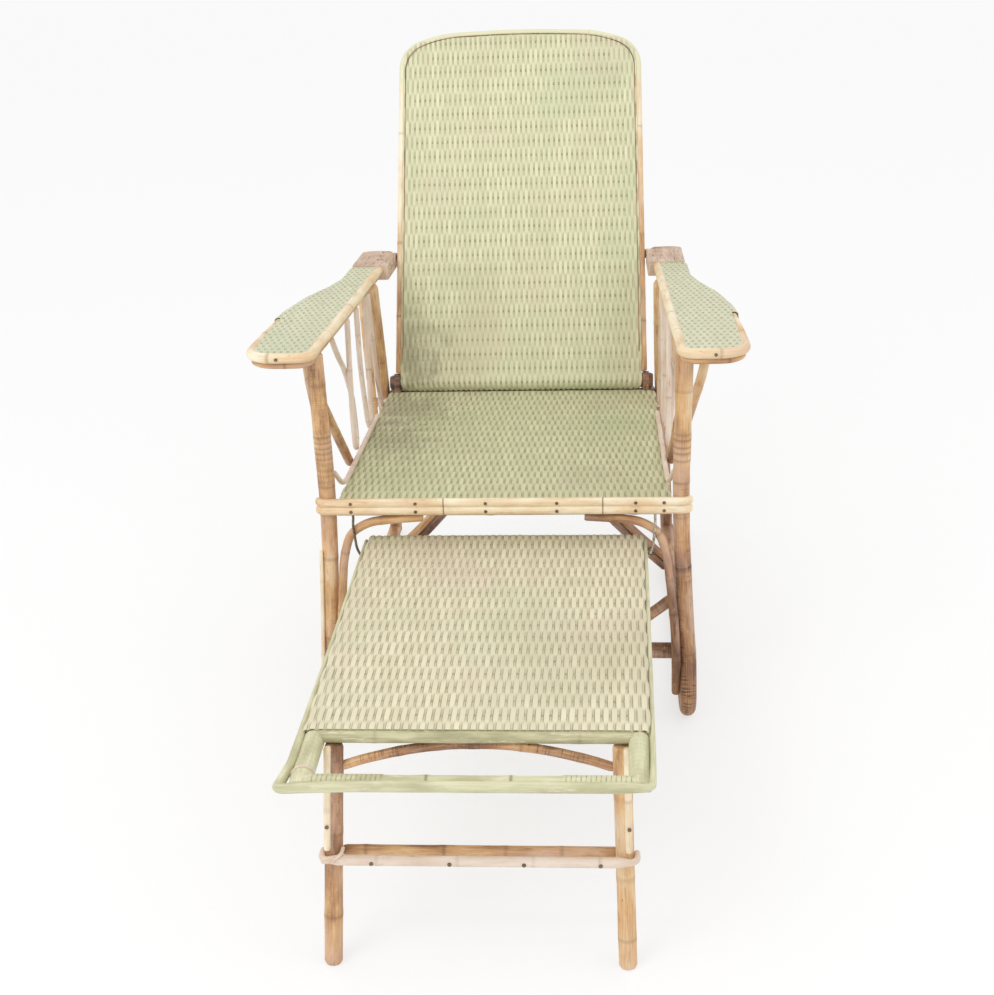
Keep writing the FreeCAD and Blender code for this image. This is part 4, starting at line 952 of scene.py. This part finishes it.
def rolled(distance, start, radius):  # a flat distance that runs over a round edge of that radius
    past = np.maximum(0, distance - start)
    angle = np.minimum(past / radius, math.pi * 0.9)
    level = np.minimum(distance, start) + radius * np.sin(angle)
    drop = radius * (1 - np.cos(angle))
    return level, drop, angle


seatLay = {"front": 12.0, "half": 257.0, "narrows": 5.5, "over": 530, "spare": 2.0, "sideRoll": (7.0, 9.0),
           "rearRoll": (534.5, 4.5), "top": 382.0}
footLay = {"rear": 560.0, "front": -558.0, "rearRoll": (8.0, 10.0), "rail": 202.5, "narrows": 9.5,
           "railRear": 18, "over": 687, "spare": 14.0, "sideRoll": (5.0, 9.0), "dip": 1.6,
           "dipFrom": -550.0, "dipOver": 8.0, "top": 315.6}


def laySeat(u, v, w):
    y = v - seatLay["front"]
    half = seatLay["half"] - seatLay["narrows"] * np.clip(y / seatLay["over"], 0, 1)
    side = (u / weaves["seat"]["wide"] - 0.5) * 2
    before, radius = seatLay["sideRoll"]
    out, fall, lean = rolled(np.abs(side) * (half + seatLay["spare"]), half - before, radius)
    level, drop, angle = rolled(y, *seatLay["rearRoll"])
    x = np.sign(side) * (out + w * np.sin(lean))
    return x, level + w * np.sin(angle), seatLay["top"] - drop - fall + w * np.cos(angle) * np.cos(lean)


def layFoot(u, v, w):
    y = np.maximum(v - footLay["rear"], footLay["front"])
    level, drop, angle = rolled(y, *footLay["rearRoll"])
    rail = footLay["rail"] - footLay["narrows"] * np.clip((footLay["railRear"] - y) / footLay["over"], 0, 1)
    middle = weaves["footrest"]["wide"] / 2
    side = u - middle
    past, radius = footLay["sideRoll"]
    out, fall, lean = rolled(np.abs(side) * (rail + footLay["spare"]) / middle, rail + past, radius)
    x = np.sign(side) * (out + w * np.sin(lean))
    dip = footLay["dip"] * np.clip((footLay["dipFrom"] - y) / footLay["dipOver"], 0, 1) ** 2
    z = footLay["top"] - dip - drop - fall + w * np.cos(angle) * np.cos(lean)
    return x, level + w * np.sin(angle), z


backLay = {
    "middle": 663.0,  # heights of the top edge along the back
    "sag": 5.2,
    "shoulder": 657.8,
    "shoulderAt": 147.0,
    "cornerAt": 177.0,
    "half": 230.0,
    "low": 226.0,  # half the width below the hinge bar
    "layHalf": 228.0,
    "spare": 2.0,
    "sideRoll": (5.0, 7.5),
    "face": 12.2,
    "hoop": 3.0,  # how far the weave stands out over the hoop
    "hoopFrom": 18,
    "hoopEase": 12,
    "rollReach": 22.0,
    "topFall": 1.6,
    "topEdge": 4,
}


def backTop(x):  # height of the weave's edge along the back, for each distance from its middle
    x = np.abs(x)
    flat = backLay["middle"] - backLay["sag"] * (x / backLay["shoulderAt"]) ** 2
    slope = 7.0 * np.clip((x - backLay["shoulderAt"]) / 30, 0, 1)
    corner = backLay["shoulder"] - slope - 26.0 * (np.clip(x - backLay["cornerAt"], 0, None) / 44.0) ** 2.2
    return np.where(x < backLay["shoulderAt"], flat, corner)


def eased(value):
    value = np.clip(value, 0, 1)
    return value * value * (3 - 2 * value)


def layBack(u, v, w):  # the weave runs over the hoop, down the front and on round the hinge bar
    side = u - weaves["back"]["wide"] / 2
    v = v - weaves["back"]["under"]
    high = backLay["half"] - 8.0 * np.clip(v, 0, 640) / 614.0
    half = np.where(v > 0, high, backLay["low"] + 4.0 * np.clip(1 + v / 20, 0, 1))
    top = backTop(side * 222.0 / backLay["layHalf"])
    v = np.minimum(v, top)
    flat = np.abs(side) / backLay["layHalf"] * (half - backLay["spare"])
    before, radius = backLay["sideRoll"]
    out, fall = rolled(flat, half - before, radius)[:2]
    x = np.sign(side) * out
    start, ease = backLay["hoopFrom"], backLay["hoopEase"]
    overHoop = backLay["hoop"] * eased((flat - half + start) / ease) * eased((v - start) / ease)
    overHoop = np.maximum(overHoop, backLay["hoop"] * eased((v - top + start) / ease))
    topFall = backLay["topFall"] * np.clip((v - top + backLay["topEdge"]) / backLay["topEdge"], 0, 1) ** 2
    turned = np.minimum(v, 0) / hinge["roll"]
    toRoll = (hinge["roll"] - backLay["face"]) * np.clip(1 - v / backLay["rollReach"], 0, 1) ** 2
    flatDepth = -backLay["face"] - np.maximum(toRoll, overHoop) + fall + topFall - w
    depth = np.where(v < 0, -(hinge["roll"] + w) * np.cos(turned) + fall, flatDepth)
    rise = np.where(v < 0, (hinge["roll"] + w) * np.sin(turned), v)
    c, s = math.cos(hinge["lean"]), math.sin(hinge["lean"])
    return x, hinge["y"] + depth * c + rise * s, hinge["z"] - depth * s + rise * c


armOutline = [(-82, 366), (150, 366), (200, 362.5), (300, 345.3), (370, 322.3), (440, 308.5), (540, 308.5)]
armRoom = {"front": -70.5, "outer": 354.5, "outerCorner": (318.0, -34.0, 36.5),
           "innerCorner": (283.0, -58.5, 12.0), "lipStart": 150.0, "lip": 11.0, "slack": 75.0,
           "rear": 529.4, "roll": 7.0, "top": 637.6, "inner": 272.0, "narrows": 12.0}


def armOuter(y):
    return np.interp(y, [p[0] for p in armOutline], [p[1] for p in armOutline])


def armInner(y):
    return armRoom["inner"] - armRoom["narrows"] * np.clip(y / 530, 0, 1) ** 0.8


def armFlat(u, v):  # where a point of the weave would lie with no edge to stop it
    y = v - armRoom["slack"]
    return armInner(y) + u - armRoom["slack"] + weaves["arm"]["lean"] * v, y


def intoCorner(x, y, corner, outward):
    cx, cy, radius = corner
    reach = np.hypot(x - cx, y - cy)
    past = ((x - cx) * outward > 0) & (y < cy) & (reach > radius)
    share = np.where(past, radius / np.maximum(reach, 0.001), 1.0)
    return cx + (x - cx) * share, cy + (y - cy) * share


def layArm(side):
    def lay(u, v, w):
        x, y = armFlat(u, v)
        y = np.clip(y, armRoom["front"], armRoom["rear"])
        x = np.maximum(x, armInner(y) - 1.0)
        x = np.where(y < armRoom["lipStart"], np.minimum(x, armRoom["outer"]), x)
        x, y = intoCorner(x, y, armRoom["outerCorner"], 1)
        x, y = intoCorner(x, y, armRoom["innerCorner"], -1)
        radius = armRoom["roll"]
        reach = armOuter(y) - radius
        out, fall, lean = rolled(x, reach, radius)
        extra = np.maximum(0, x - reach - radius * math.pi / 2)
        lean = np.minimum(lean, math.pi / 2)
        out = np.where(extra > 0, reach + radius, out)
        fall = np.where(extra > 0, radius + np.minimum(extra, armRoom["lip"]), fall)
        z = armRoom["top"] - fall + w * np.cos(lean) - arms["tilt"] * (y - arms["front"])
        return side * (out + w * np.sin(lean)), y, z
    return lay


def pastArm(u, v, pitch, row):
    x, y = armFlat(u, v)
    room = np.where(y < armRoom["lipStart"], armRoom["outer"], armOuter(y) + armRoom["lip"] + 5.0)
    beside = (x < armInner(y) - pitch) | (x > room + pitch)
    return beside | (y < armRoom["front"] - row * 1.5) | (y > armRoom["rear"] + row * 1.5)


def armStakeEnds(v):
    y = v - armRoom["slack"]
    left = armRoom["slack"] - weaves["arm"]["lean"] * v
    short = 13.0 if y < armRoom["lipStart"] else 1.0
    return left + 1.0, left + float(armOuter(y) - armInner(y)) - short


# A dark cane behind the seat as painted shade: it fills the gap below the back with the colour of its
# shadow
cane("seat_rear_edge", "frame", None, [(-236, 550.5, 376.1), (236, 550.5, 376.1)], 9,
     tones=((0, 0.9), (1, 0.9)), gap=90)
seatPiece = reedPanel("seat_weave", weaves["seat"], laySeat, 3)
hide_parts("seat_panel")
stakeSet("seat_stakes", weaves["seat"], laySeat, lambda v: (2, 512))
footPiece = reedPanel("footrest_weave", weaves["footrest"], layFoot, 7)
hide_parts("footrest_panel")
stakeSet("footrest_stakes", weaves["footrest"], layFoot, lambda v: (2, 428))
backPiece = reedPanel("back_weave", weaves["back"], layBack, 11)
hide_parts("back_panel")
stakeSet("back_stakes", weaves["back"], layBack, lambda v: (20, 436) if v < 640 else (48, 408))
for side, word in sides:
    armPiece = reedPanel("arm_weave_" + word, weaves["arm"], layArm(side), 13 + side, pastArm)
    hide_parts("arm_panel_" + word)
    stakeSet("arm_stakes_" + word, weaves["arm"], layArm(side), armStakeEnds)
print("weaves made")

# The pole that the weave's bottom edge runs round
cane("back_roll", "backrest", None, leaned([(-226, 0, 0), (226, 0, 0)]), 29.6, "painted", None, 3.0, ())

# What stays as it was built, with a finish
kept = {
    "arm_block_left": "block", "arm_block_right": "block",
    "front_trim_upper": "trim", "front_trim_lower": "trim",
    "hinge_lashings": "bound", "frame_nails": "iron", "footrest_nails": "iron",
}
for name, finish in kept.items():
    wear(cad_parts[name], finish)

# Floor, light and backdrop
stageLook = {"floor": (0.93, 0.93, 0.93), "floorSize": 300, "glow": 0.66, "sky": 0.92,
             "lamps": (("key", (-1.6, -2.2, 3.0), 1.6, 34), ("fill", (2.4, -1.2, 2.2), 2.0, 10))}


def forCamera(other, seen):  # one shader for what the camera sees, another for all other light
    rays = add("ShaderNodeLightPath")
    return add("ShaderNodeMixShader", {0: rays.outputs["Is Camera Ray"], 1: other, 2: seen}).outputs[0]


def makeStage():
    bpy.ops.mesh.primitive_plane_add(size=stageLook["floorSize"], location=(0, 0, 0))
    floor = bpy.context.object
    floor.name = "studio_floor"
    startFinish("studio floor")
    shader = bench["shader"]
    glow = add("ShaderNodeEmission", {"Color": (1, 1, 1, 1), "Strength": 1.0})
    shader.inputs["Base Color"].default_value = (*stageLook["floor"], 1)
    shader.inputs["Roughness"].default_value = 0.9
    mix = add("ShaderNodeMixShader", {0: stageLook["glow"], 1: shader.outputs[0], 2: glow.outputs[0]})
    out = bench["tree"].nodes["Material Output"]
    link(forCamera(shader.outputs[0], mix.outputs[0]), out.inputs["Surface"])
    floor.data.materials.append(bench["material"])
    world = bpy.data.worlds.new("studio") if bpy.context.scene.world is None else bpy.context.scene.world
    bpy.context.scene.world = world
    world.use_nodes = True
    bench["tree"] = world.node_tree
    bench["tree"].nodes.clear()
    soft = add("ShaderNodeBackground", {"Color": (1, 1, 1, 1), "Strength": stageLook["sky"]})
    white = add("ShaderNodeBackground", {"Color": (1, 1, 1, 1), "Strength": 1.0})
    add("ShaderNodeOutputWorld", {"Surface": forCamera(soft.outputs[0], white.outputs[0])})
    for name, spot, size, power in stageLook["lamps"]:
        bpy.ops.object.light_add(type="AREA", location=spot)
        lamp = bpy.context.object
        lamp.name = name + "_lamp"
        lamp.data.size = size
        lamp.data.energy = power
        lamp.rotation_mode = "QUATERNION"
        lamp.rotation_quaternion = (Vector((0, 0, 0.4)) - Vector(spot)).to_track_quat("-Z", "Y")


makeStage()
bpy.context.scene.view_settings.view_transform = "Standard"
print("stage set")
